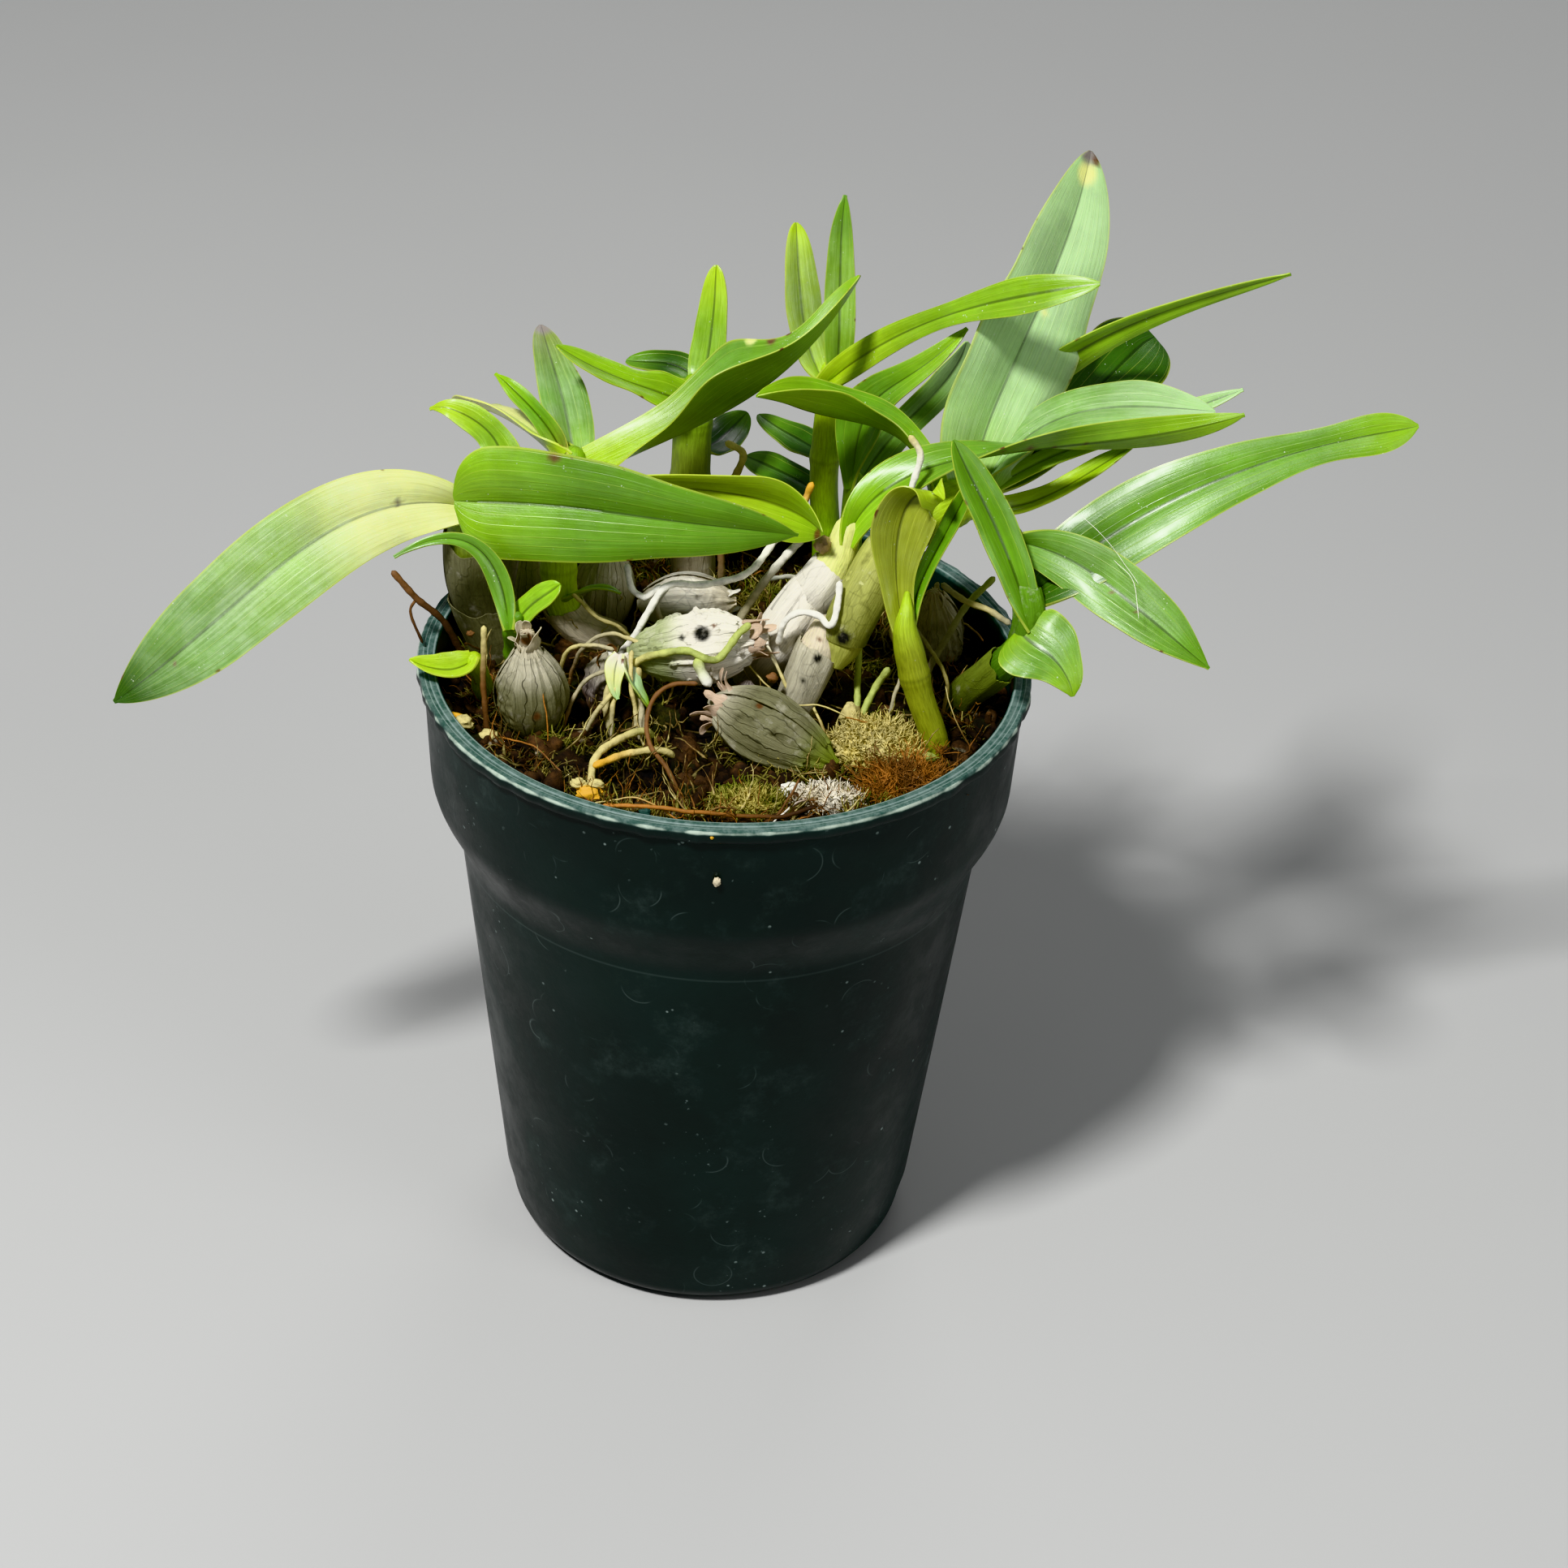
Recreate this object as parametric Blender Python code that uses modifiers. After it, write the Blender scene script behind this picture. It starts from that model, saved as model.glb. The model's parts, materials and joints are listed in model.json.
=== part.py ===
"""Young dendrobium orchid with many small growths, in a 102 mm round nursery pot.

Run with: blender --background --python part.py

The origin is on the surface that the pot stands on, at the pot's axis. +Z is up and +Y points
away from the front of the plant. The scene is in metres. Places and sizes below are in
millimetres, and MM brings them to metres.
"""

import math
from collections import namedtuple

import bmesh
import bpy
from mathutils import Matrix, Vector, noise

MM = 0.001

# Driving sizes of the pot
RIM_RADIUS = 51.0
POT_HEIGHT = 112.0
BASE_RADIUS = 35.0
WALL = 1.4
LIP_WIDTH = 3.2
COLLAR_HEIGHT = 20.0
STEP_HEIGHT = 14.0
FLOOR = 2.0
COLLAR_INSET = 1.2
SHOULDER_INSET = 2.0
BODY_INSET = 7.0
BASE_ROUNDING = 4.5
POT_SIDES = 36
DRAIN_HOLES = 6
DRAIN_RADIUS = 4.0
DRAIN_RING = 24.0

# Driving sizes of the plant
BLADE_THICKNESS = 0.9
CHANNEL_ANGLE = 60.0
MIX_TOP = 105.0
MIX_SIDES = 30
MIX_RINGS = (8, 16, 24, 32, 40)
WALL_GAP = 0.5
SEAT_GAP = 0.3
HOLE_CEILING = MIX_TOP + 10.0

# A blade follows a Bezier midrib from its foot to its tip. The rolls turn it about the midrib at
# the foot, halfway and at the tip. The widths are those at 0, 1/4, 1/2 and 3/4 of its length.
# The fold lifts each half from flat, and a small taper gives a blunt tip.
Leaf = namedtuple("Leaf", "midrib rolls widths fold taper strips")
Growth = namedtuple("Growth", "colour stalks leaves")
Bulb = namedtuple("Bulb", "foot top radius waist lean colour")

LEAF_GREEN = (0.13, 0.30, 0.03, 1)
FRESH_GREEN = (0.24, 0.42, 0.04, 1)
OLD_CANE = (0.30, 0.33, 0.16, 1)
PAPER = (0.62, 0.58, 0.45, 1)
GREY_PAPER = (0.42, 0.41, 0.32, 1)
ROOT_WHITE = (0.80, 0.76, 0.60, 1)
ROOT_GREEN = (0.50, 0.55, 0.20, 1)
BROWN = (0.16, 0.07, 0.03, 1)
MOSS = (0.42, 0.36, 0.12, 1)
COIR = (0.34, 0.15, 0.05, 1)
POT_GREEN = (0.03, 0.075, 0.065, 1)
MIX_BROWN = (0.06, 0.04, 0.02, 1)

# Stalks are lists of (x, y, z, radius) from the foot up.
GROWTHS = {
    "leafy_stem_left": Growth(
        OLD_CANE,
        [
            [
                (-39, 12, 99, 4.6),
                (-39, 12, 106, 4.8),
                (-41, 11, 113, 4.8),
                (-42, 10, 120, 5.2),
                (-42, 9, 128, 5.0),
                (-41, 8, 134, 4.4),
                (-40, 8, 138, 2.6),
            ]
        ],
        [
            Leaf([(-43, 7, 134), (-64, 1, 143), (-80, -12, 121), (-99, -15, 107)],
                 (90, 70, 60), (8, 14.5, 16, 14), 10, 0.8, 4),
            Leaf([(-40, 8, 137), (-31, 3, 139), (-10, -6, 141), (11, 0, 136)],
                 (-75, -95, -105), (17, 21, 19.5, 13.5), 10, 0.9, 4),
            Leaf([(-39, 9, 137), (-17, 12, 138), (9, 17, 136), (15, -1, 137)],
                 (-125, -120, -80), (6, 9, 10, 13), 15, 0.7, 4),
            Leaf([(-40, 8, 138), (-35, 11, 142), (-41, 14, 148), (-50, 14, 149)],
                 (45, 45, 35), (5, 7.5, 5.5, 5), 20, 0.8, 2),
        ],
    ),
    "leafy_stem_young": Growth(
        FRESH_GREEN,
        [
            [
                (-18, 14, 99, 2.2),
                (-19, 14, 105, 2.8),
                (-24, 13, 108, 3.0),
                (-28, 14, 112, 3.0),
                (-29, 15, 119, 3.0),
                (-29, 16, 127, 3.0),
                (-28, 17, 134, 3.2),
                (-27, 18, 138, 2.2),
            ]
        ],
        [
            Leaf([(-28, 17, 137), (-36, 27, 141), (-49, 35, 141), (-44, 40, 132)],
                 (-45, -30, -10), (6, 8.5, 12.5, 9), 10, 0.7, 2),
            Leaf([(-28, 17, 138), (-31, 23, 142), (-35, 29, 141), (-41, 32, 146)],
                 (40, 35, 25), (3.5, 4, 3.5, 3.5), 25, 0.7, 2),
            Leaf([(-27, 20, 136), (-28, 32, 135), (-32, 39, 144), (-35, 50, 146)],
                 (-30, 0, -5), (6.5, 8.5, 9, 6.5), 15, 0.6, 2),
            Leaf([(-26, 18, 135), (-5, 20, 152), (8, 15, 156), (19, 30, 168)],
                 (-25, -5, -25), (8, 7, 13.5, 6), 15, 0.6, 4),
            Leaf([(-28, 12, 114), (-25, 10, 117), (-22, 9, 120), (-18, 7, 119)],
                 (5, 5, 5), (1.5, 2, 2.5, 2), 15, 0.6, 2),
        ],
    ),
    "leafy_stem_back_left": Growth(
        OLD_CANE,
        [
            [
                (-7, 36, 99, 3.8),
                (-7, 36, 108, 4.0),
                (-8, 36, 119, 4.1),
                (-8, 37, 131, 4.0),
                (-8, 38, 138, 3.2),
                (-8, 39, 142, 1.8),
            ]
        ],
        [
            Leaf([(-9, 37, 139), (-12, 31, 144), (-23, 33, 145), (-31, 33, 151)],
                 (35, 10, 15), (6, 8.5, 6, 6), 15, 0.6, 2),
            Leaf([(-7, 40, 141), (-10, 44, 144), (-14, 45, 142), (-20, 46, 142)],
                 (15, 15, 15), (4.5, 6, 6, 5.5), 15, 0.5, 2),
            Leaf([(-7, 38, 141), (-5, 43, 146), (-5, 43, 154), (-5, 46, 161)],
                 (5, 5, 0), (4.5, 6.5, 6, 5), 15, 0.5, 2),
            Leaf([(-7, 38, 129), (-4, 44, 128), (-3, 49, 126), (1, 54, 129)],
                 (-20, -20, -20), (3.5, 6, 7, 6.5), 10, 0.5, 2),
        ],
    ),
    "leafy_stem_back": Growth(
        LEAF_GREEN,
        [
            [
                (16, 38, 99, 2.4),
                (16, 38, 112, 2.5),
                (15, 38, 124, 2.5),
                (15, 38, 135, 2.4),
                (15, 39, 146, 1.5),
            ]
        ],
        [
            Leaf([(14, 39, 143), (9, 43, 151), (9, 40, 161), (8, 45, 170)],
                 (5, 5, 10), (5, 6.5, 7.5, 6.5), 15, 0.5, 2),
            Leaf([(16, 39, 144), (17, 38, 156), (15, 43, 165), (16, 42, 176)],
                 (-5, 0, 0), (4, 5.5, 5.5, 4.5), 20, 0.6, 2),
            Leaf([(15, 38, 144), (26, 31, 160), (40, 16, 172), (57, 15, 176)],
                 (-75, -55, -55), (5.5, 5, 4, 6.5), 10, 0.6, 4),
            Leaf([(15, 38, 130), (14, 45, 127), (8, 50, 127), (3, 57, 127)],
                 (25, 20, 10), (3, 5, 6.5, 5), 10, 0.5, 2),
            Leaf([(15, 38, 122), (13, 46, 119), (6, 51, 120), (1, 58, 118)],
                 (25, 20, 25), (3, 5, 5.5, 6), 10, 0.5, 2),
        ],
    ),
    "leafy_stem_back_right": Growth(
        LEAF_GREEN,
        [
            [
                (20, 30, 99, 1.9),
                (20, 29, 110, 2.0),
                (20, 28, 120, 2.0),
                (20, 26, 132, 1.7),
            ]
        ],
        [
            Leaf([(20, 25, 131), (20, 31, 151), (24, 20, 148), (37, 25, 162)],
                 (-50, -55, -50), (3.5, 9.5, 7.5, 5), 20, 0.6, 2),
            Leaf([(20, 27, 129), (25, 39, 136), (36, 47, 138), (38, 46, 149)],
                 (-50, -75, -80), (3, 6, 6, 7), 10, 0.5, 2),
            Leaf([(20, 27, 125), (22, 33, 129), (23, 38, 129), (24, 43, 133)],
                 (0, 0, 0), (3, 5, 6, 5.5), 10, 0.5, 2),
        ],
    ),
    "leafy_stem_right": Growth(
        FRESH_GREEN,
        [
            [
                (10, -7, 100, 2.6),
                (12, -8, 109, 3.0),
                (15, -5, 117, 3.2),
                (16, -4, 121, 2.2),
            ],
            [
                (18, -6, 115, 1.4),
                (19, -5, 118, 3.2),
                (20, -4, 122, 4.0),
                (22, -2, 126, 4.1),
                (26, 3, 132, 3.8),
                (31, 6, 136, 3.6),
                (37, 10, 138, 3.6),
                (41, 13, 138, 2.8),
            ],
        ],
        [
            Leaf([(40, 13, 133), (37, 22, 150), (52, 29, 162), (56, 46, 185)],
                 (-30, -75, -50), (5.5, 18, 22, 18.5), 10, 0.65, 4),
            Leaf([(41, 15, 136), (56, 28, 143), (64, 38, 153), (70, 47, 151)],
                 (-20, -25, -30), (5, 9, 12, 15), 5, 0.35, 4),
            Leaf([(41, 15, 137), (43, 40, 148), (62, 30, 163), (88, 22, 176)],
                 (-90, -105, -105), (3.5, 6, 6.5, 4), 15, 0.6, 2),
            Leaf([(41, 14, 137), (48, 24, 149), (59, 17, 154), (78, 17, 153)],
                 (-5, -10, -10), (5, 9, 10.5, 12), 10, 0.6, 4),
            Leaf([(41, 14, 136), (51, 21, 144), (69, 24, 145), (82, 20, 156)],
                 (-30, -30, -35), (2.5, 3.5, 4, 4), 15, 0.6, 2),
            Leaf([(41, 14, 135), (50, 18, 131), (57, 18, 139), (66, 18, 146)],
                 (-25, -20, -25), (4, 4.5, 4, 4), 25, 0.8, 2),
            Leaf([(33, 9, 137), (30, 22, 151), (16, 15, 146), (4, 8, 158)],
                 (50, -20, -25), (6.5, 6, 9.5, 12.5), 50, 0.6, 4),
        ],
    ),
    "leafy_stem_middle": Growth(
        PAPER,
        [
            [
                (3, 6, 99, 2.8),
                (5, 3, 108, 3.4),
                (8, 0, 115, 4.0),
                (12, 2, 121, 3.8),
                (16, 4, 126, 3.5),
                (18, 5, 130, 2.8),
                (19, 6, 134, 2.2),
            ]
        ],
        [
            Leaf([(19, 5, 132), (24, 9, 152), (58, 9, 147), (82, 11, 156)],
                 (-85, 35, 115), (4.5, 9, 9.5, 7), 15, 0.7, 4),
        ],
    ),
    "leafy_stem_front": Growth(
        FRESH_GREEN,
        [
            [
                (36, -14, 99, 2.9),
                (35, -13, 106, 3.1),
                (32, -12, 114, 3.0),
                (30, -11, 121, 3.3),
                (29, -10, 125, 2.0),
            ]
        ],
        [
            Leaf([(30, -11, 121), (25, -2, 133), (26, 2, 149), (34, -4, 146)],
                 (-25, -40, -40), (5.5, 7, 10.5, 9.5), 25, 0.6, 4),
            Leaf([(30, -10, 122), (29, -2, 130), (36, -1, 138), (39, 4, 147)],
                 (-5, -15, -20), (3.5, 3.5, 3.5, 4), 40, 0.6, 2),
        ],
    ),
    "leafy_stem_far_right": Growth(
        LEAF_GREEN,
        [
            [
                (39, 2, 99, 2.9),
                (40, 1, 106, 3.2),
                (44, -4, 114, 3.4),
                (48, -7, 121, 3.5),
                (49, -6, 127, 3.2),
                (47, -2, 133, 2.4),
                (46, 2, 137, 1.8),
            ]
        ],
        [
            Leaf([(49, -8, 125), (46, -4, 137), (40, 0, 143), (35, 3, 153)],
                 (20, 20, 10), (4, 6, 7, 6.5), 15, 0.55, 4),
            Leaf([(45, 2, 136), (60, 1, 134), (65, -8, 130), (78, -14, 123)],
                 (-75, -60, -5), (4.5, 9, 10.5, 9.5), 12, 0.8, 4),
            Leaf([(49, 0, 126), (58, -2, 136), (81, 13, 147), (110, 10, 156)],
                 (-45, -45, -60), (11, 12, 11, 6), 12, 0.35, 4),
            Leaf([(49, -8, 122), (51, -12, 122), (56, -13, 122), (57, -17, 118)],
                 (-35, 0, 20), (10, 10, 10.5, 8), 15, 0.7, 4),
        ],
    ),
    "small_shoot_left": Growth(
        FRESH_GREEN,
        [
            [
                (-34, 2, 100, 1.5),
                (-35, 0, 108, 1.5),
                (-35, -3, 115, 1.5),
                (-35, -6, 119, 1.4),
                (-34, -7, 122, 1.0),
            ]
        ],
        [
            Leaf([(-35, -8, 120), (-37, -1, 130), (-42, -1, 138), (-54, -5, 131)],
                 (80, 60, 50), (3, 4, 3, 2), 20, 0.6, 2),
            Leaf([(-34, -6, 119), (-34, -5, 122), (-30, -6, 125), (-27, -6, 128)],
                 (-45, -40, -40), (3.5, 4.5, 4.5, 4.5), 15, 0.4, 2),
        ],
    ),
    "small_shoot_rim": Growth(
        FRESH_GREEN,
        [
            [
                (-40, -3, 100, 1.5),
                (-40, -5, 108, 1.6),
                (-41, -8, 114, 1.5),
            ]
        ],
        [
            Leaf([(-41, -8, 114), (-43, -11, 113), (-48, -11, 113), (-51, -12, 116)],
                 (25, 30, 35), (4, 6, 6, 4.5), 40, 0.6, 2),
        ],
    ),
}

# Bulbs are turned round the line from foot to top. The waist places the fullest ring, and the
# lean sharpens or fills the top.
BULBS = {
    "papery_bulb_front": Bulb((-31, -12, 102), (-32, -11, 122), 5.5, 0.42, 1.3, GREY_PAPER),
    "papery_bulb_lying": Bulb((-1, -13, 112), (18, -21, 106), 5.1, 0.45, 0.7, GREY_PAPER),
    "papery_bulb_torn": Bulb((-16, -5, 114), (6, -6, 118), 4.9, 0.55, 0.7, PAPER),
    "papery_bulb_behind": Bulb((-16, 22, 108), (1, 23, 109), 4.8, 0.50, 0.6, PAPER),
    "papery_bulb_shaded": Bulb((-22, 25, 100), (-21, 23, 121), 4.8, 0.45, 1.0, GREY_PAPER),
    "papery_bulb_back_left": Bulb((-37, 25, 100), (-35, 22, 122), 4.2, 0.45, 1.0, PAPER),
    "dark_bulb_left": Bulb((-21, -4, 101), (-19, -5, 115), 2.6, 0.6, 0.7, GREY_PAPER),
    "dark_bulb_middle": Bulb((2, -9, 101), (4, -7, 112), 3.2, 0.6, 0.7, BROWN),
    "papery_bulb_right": Bulb((37, 19, 100), (34, 8, 122), 4.0, 0.45, 0.8, GREY_PAPER),
}

# Roots are routes of (x, y, z); those of one name grow together.
ROOT_RADIUS = 0.9
ROOTS = {
    "white_root_long": (ROOT_WHITE, [
        [(13, 14, 138), (11, 13, 133), (7, 9, 129), (3, 4, 126), (-4, 3, 124), (-10, 2, 124),
         (-13, 0, 120), (-15, -1, 116), (-18, 0, 110), (-19, 2, 101)],
        [(-17, 5, 126), (-16, 4, 122), (-14, 3, 121), (-13, 2, 122), (-11, 2, 124)],
    ]),
    "white_root_upright": (ROOT_WHITE, [
        [(28, 4, 153), (30, 3, 150), (29, 2, 145), (28, 1, 141), (28, 0, 136)],
    ]),
    "white_root_on_sheath": (ROOT_WHITE, [
        [(17, 0, 130), (16, -1, 127), (14, -2, 124), (11, -4, 123), (9, -5, 120), (9, -5, 116)],
    ]),
    "white_root_thick": (ROOT_WHITE, [
        [(12, 8, 131), (9, 8, 127), (6, 7, 123), (3, 6, 118), (0, 5, 111), (-2, 5, 102)],
    ]),
    "root_cluster_front": (ROOT_GREEN, [
        [(1, -11, 121), (0, -12, 118), (-2, -11, 118), (-6, -11, 120), (-10, -10, 119),
         (-14, -9, 115), (-18, -9, 112), (-19, -11, 108), (-17, -13, 101)],
        [(-14, -9, 115), (-14, -10, 111), (-13, -13, 107), (-13, -15, 101)],
        [(-2, -11, 118), (-3, -12, 116), (-2, -14, 115)],
    ]),
    "root_fork_front": (ROOT_GREEN, [
        [(-20, -30, 101), (-20, -26, 107), (-17, -21, 108), (-12, -16, 107), (-10, -14, 101)],
        [(-20, -27, 107), (-15, -23, 107), (-9, -20, 106), (-5, -18, 101)],
    ]),
    "root_pair_right": (ROOT_GREEN, [
        [(27, -4, 114), (25, -4, 110), (23, -8, 107), (22, -9, 100)],
        [(22, 2, 116), (22, -2, 110), (22, -7, 107), (21, -9, 100)],
    ]),
    "root_crossing_back": (ROOT_GREEN, [
        [(44, 10, 124), (40, 8, 120), (37, 6, 115), (34, 4, 109), (33, 3, 101)],
        [(35, 7, 124), (39, 7, 121), (43, 6, 120), (47, 5, 118)],
    ]),
    "root_curl_back": (BROWN, [
        [(-2, 30, 136), (1, 30, 134), (0, 30, 130), (-3, 29, 125), (-2, 28, 114), (-2, 28, 101)],
    ]),
}

# Dry pieces lying on the mix: (colour, radius, route)
DRY_PIECES = {
    "dark_twig": (BROWN, 0.9, [(-55, -1, 126), (-51, -1, 121), (-46, 0, 115), (-41, 1, 101)]),
    "pale_stick": (GREY_PAPER, 0.9, [(-39, -10, 122), (-39, -12, 112), (-38, -14, 101)]),
    "brown_fibre": (BROWN, 0.6, [(-4, -16, 115), (-8, -14, 115), (-11, -13, 113), (-12, -16, 110),
                                 (-11, -21, 109), (-8, -28, 107), (-4, -34, 101)]),
}

# Tufts are low domes: (colour, centre, half sizes)
TUFTS = {
    "moss_mound": (MOSS, (25, -16, 105), (7, 6, 4.5)),
    "pale_moss": (PAPER, (18, -31, 105), (5.5, 3.5, 2.3)),
    "green_moss": (ROOT_GREEN, (5, -33, 105), (5, 4, 2.0)),
    "coir_tuft": (COIR, (30, -26, 105), (6, 3.8, 2.3)),
}


def clear_scene():
    for obj in list(bpy.data.objects):
        bpy.data.objects.remove(obj, do_unlink=True)


def new_collection(name):
    collection = bpy.data.collections.new(name)
    bpy.context.scene.collection.children.link(collection)
    return collection


def material(name, colour, roughness=0.55):
    made = bpy.data.materials.new(name)
    made.use_nodes = True
    shader = made.node_tree.nodes["Principled BSDF"]
    shader.inputs["Base Color"].default_value = colour
    shader.inputs["Roughness"].default_value = roughness
    shader.inputs["Metallic"].default_value = 0.0
    made.diffuse_color = colour
    return made


def object_of(name, data, collection):
    obj = bpy.data.objects.new(name, data)
    collection.objects.link(obj)
    return obj


def baked(obj, collection):
    """A plain mesh object in place of this one, with its modifiers applied and its caps welded."""
    bpy.context.view_layer.update()
    graph = bpy.context.evaluated_depsgraph_get()
    mesh = bpy.data.meshes.new_from_object(obj.evaluated_get(graph))
    edit = bmesh.new()
    edit.from_mesh(mesh)
    bmesh.ops.remove_doubles(edit, verts=edit.verts, dist=0.001 * MM)
    edit.to_mesh(mesh)
    edit.free()
    made = object_of(obj.name + ".baked", mesh, collection)
    made.matrix_world = obj.matrix_world.copy()
    bpy.data.objects.remove(obj, do_unlink=True)
    return made


def smooth_route(route, steps=2):
    """Points on a Catmull-Rom curve through the route, which may carry a radius."""
    first = tuple(2 * a - b for a, b in zip(route[0], route[1]))
    last = tuple(2 * a - b for a, b in zip(route[-1], route[-2]))
    ends = [first, *route, last]
    points = []
    for before, start, end, after in zip(ends, ends[1:], ends[2:], ends[3:]):
        for step in range(steps):
            t = step / steps
            points.append(tuple(
                0.5 * (2 * b + (c - a) * t + (2 * a - 5 * b + 4 * c - d) * t**2
                       + (3 * b - a - 3 * c + d) * t**3)
                for a, b, c, d in zip(before, start, end, after)
            ))
    points.append(tuple(route[-1]))
    return points


def tube(name, points, collection, resolution=2, spare=0.0):
    """A round stalk through (x, y, z, radius) points. The spare widens and lengthens a cutter."""
    data = bpy.data.curves.new(name, "CURVE")
    data.dimensions = "3D"
    data.bevel_depth = MM
    data.bevel_resolution = resolution
    data.use_fill_caps = True
    spline = data.splines.new("POLY")
    spline.points.add(len(points) - 1)
    for point, (x, y, z, radius) in zip(spline.points, points):
        point.co = (x * MM, y * MM, z * MM, 1)
        point.radius = radius + spare
    start = Vector(points[0][:3])
    onward = (Vector(points[1][:3]) - start).normalized()
    spline.points[0].co = (*((start - spare * onward) * MM), 1)
    end = Vector(points[-1][:3])
    back = (Vector(points[-2][:3]) - end).normalized()
    spline.points[-1].co = (*((end - spare * back) * MM), 1)
    return baked(object_of(name, data, collection), collection)


def bezier(points, t):
    a, b, c, d = (Vector(p) for p in points)
    return (1 - t)**3 * a + 3 * (1 - t)**2 * t * b + 3 * (1 - t) * t * t * c + t**3 * d


def bezier_slope(points, t):
    a, b, c, d = (Vector(p) for p in points)
    return ((1 - t)**2 * (b - a) + 2 * (1 - t) * t * (c - b) + t * t * (d - c)).normalized()


def leaf_width(leaf, t):
    """Width at t from the four stated widths, drawn in over the last third to a blunt tip."""
    last = leaf.widths[3]
    stated = [2 * leaf.widths[0] - leaf.widths[1], *leaf.widths, 0.9 * last, 0.8 * last]
    cell = min(int(4 * t), 3)
    f = 4 * t - cell
    a, b, c, d = stated[cell:cell + 4]
    width = 0.5 * (2 * b + (c - a) * f + (2 * a - 5 * b + 4 * c - d) * f**2
                   + (3 * b - a - 3 * c + d) * f**3)
    into_tip = max(0.0, (t - 0.7) / 0.3)
    return max(0.9, width * max(0.0, 1 - into_tip**2)**leaf.taper)


def leaf_point(leaf, t, side):
    """The place in the blade at t along the midrib and side across it, from -1 to 1."""
    along = bezier_slope(leaf.midrib, t)
    chord = Vector(leaf.midrib[3]) - Vector(leaf.midrib[0])
    chord.z = 0
    across = chord.normalized().cross(Vector((0, 0, 1)))
    across = (across - along * along.dot(across)).normalized()
    above = across.cross(along)
    foot, middle, tip = leaf.rolls
    roll = math.radians(foot * (1 - t)**2 + 2 * middle * t * (1 - t) + tip * t * t)
    right = math.cos(roll) * across + math.sin(roll) * above
    upper = right.cross(along)
    into_foot = max(0.0, 1 - t / 0.2)**2
    fold = math.radians(leaf.fold + (CHANNEL_ANGLE - leaf.fold) * into_foot)
    half = leaf_width(leaf, t) / 2
    return (bezier(leaf.midrib, t) + right * (side * half * math.cos(fold))
            + upper * (abs(side) * half * math.sin(fold)))


def blade(name, leaf, collection):
    """A leaf: a grid bent to the midrib, split into triangles and thickened."""
    stations = 11 if leaf.strips > 2 else 8
    edit = bmesh.new()
    bmesh.ops.create_grid(edit, x_segments=stations, y_segments=leaf.strips, size=0.5)
    for vertex in edit.verts:
        t = vertex.co.x + 0.5
        side = 2 * vertex.co.y
        vertex.co = leaf_point(leaf, t, side) * MM
    bmesh.ops.triangulate(edit, faces=edit.faces)
    mesh = bpy.data.meshes.new(name)
    edit.to_mesh(mesh)
    edit.free()
    obj = object_of(name, mesh, collection)
    thick = obj.modifiers.new("Thickness", "SOLIDIFY")
    thick.thickness = BLADE_THICKNESS * MM
    thick.offset = 0
    return baked(obj, collection)


def fused(name, pieces, collection):
    """One object from overlapping pieces, by one Boolean union on a collection."""
    first, *others = pieces
    joined = new_collection(name + ".joined")
    for piece in others:
        for holder in list(piece.users_collection):
            holder.objects.unlink(piece)
        joined.objects.link(piece)
    if others:
        union = first.modifiers.new("Union", "BOOLEAN")
        union.operation = "UNION"
        union.operand_type = "COLLECTION"
        union.collection = joined
        union.solver = "MANIFOLD"
    made = baked(first, collection)
    for piece in list(joined.objects):
        bpy.data.objects.remove(piece, do_unlink=True)
    bpy.data.collections.remove(joined)
    made.name = name
    return made


def finish(obj, colour, roughness=0.55, smooth_angle=50):
    obj.data.materials.clear()
    obj.data.materials.append(material(obj.name, colour, roughness))
    obj.data.shade_smooth()
    obj.data.set_sharp_from_angle(angle=math.radians(smooth_angle))


def turned(name, profile, sides, collection):
    """A closed shape from (radius, height) points, turned round Z."""
    edit = bmesh.new()
    points = [edit.verts.new((radius * MM, 0, height * MM)) for radius, height in profile]
    for a, b in zip(points, points[1:]):
        edit.edges.new((a, b))
    mesh = bpy.data.meshes.new(name)
    edit.to_mesh(mesh)
    edit.free()
    obj = object_of(name, mesh, collection)
    screw = obj.modifiers.new("Turn", "SCREW")
    screw.axis = "Z"
    screw.steps = sides
    screw.render_steps = sides
    screw.use_merge_vertices = True
    screw.merge_threshold = 0.00001
    return obj


def as_cutter(obj):
    obj.hide_render = True
    obj.display_type = "WIRE"


def wall_profile(inset, turns):
    """The pot's wall from the rim down to the base, moved in by the inset, with this many
    points on each curve."""
    collar = RIM_RADIUS - COLLAR_INSET - inset
    shoulder = RIM_RADIUS - SHOULDER_INSET - inset
    body = RIM_RADIUS - BODY_INSET - inset
    collar_foot = POT_HEIGHT - COLLAR_HEIGHT
    step_foot = collar_foot - STEP_HEIGHT
    points = [(collar, POT_HEIGHT - 3.0), (shoulder, collar_foot)]
    for step in range(1, turns + 1):
        t = step / turns
        ease = t * t * (3 - 2 * t)
        points.append((shoulder + (body - shoulder) * ease,
                       collar_foot + (step_foot - collar_foot) * t))
    points.append((BASE_RADIUS + 1.5 - inset, 9.0))
    for step in range(turns):
        angle = math.radians(90 * step / (turns - 1))
        floor_level = inset if inset else 0.0
        points.append((BASE_RADIUS + 0.4 - inset - BASE_ROUNDING * (1 - math.cos(angle)),
                       floor_level + BASE_ROUNDING * (1 - math.sin(angle))))
    return points


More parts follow.
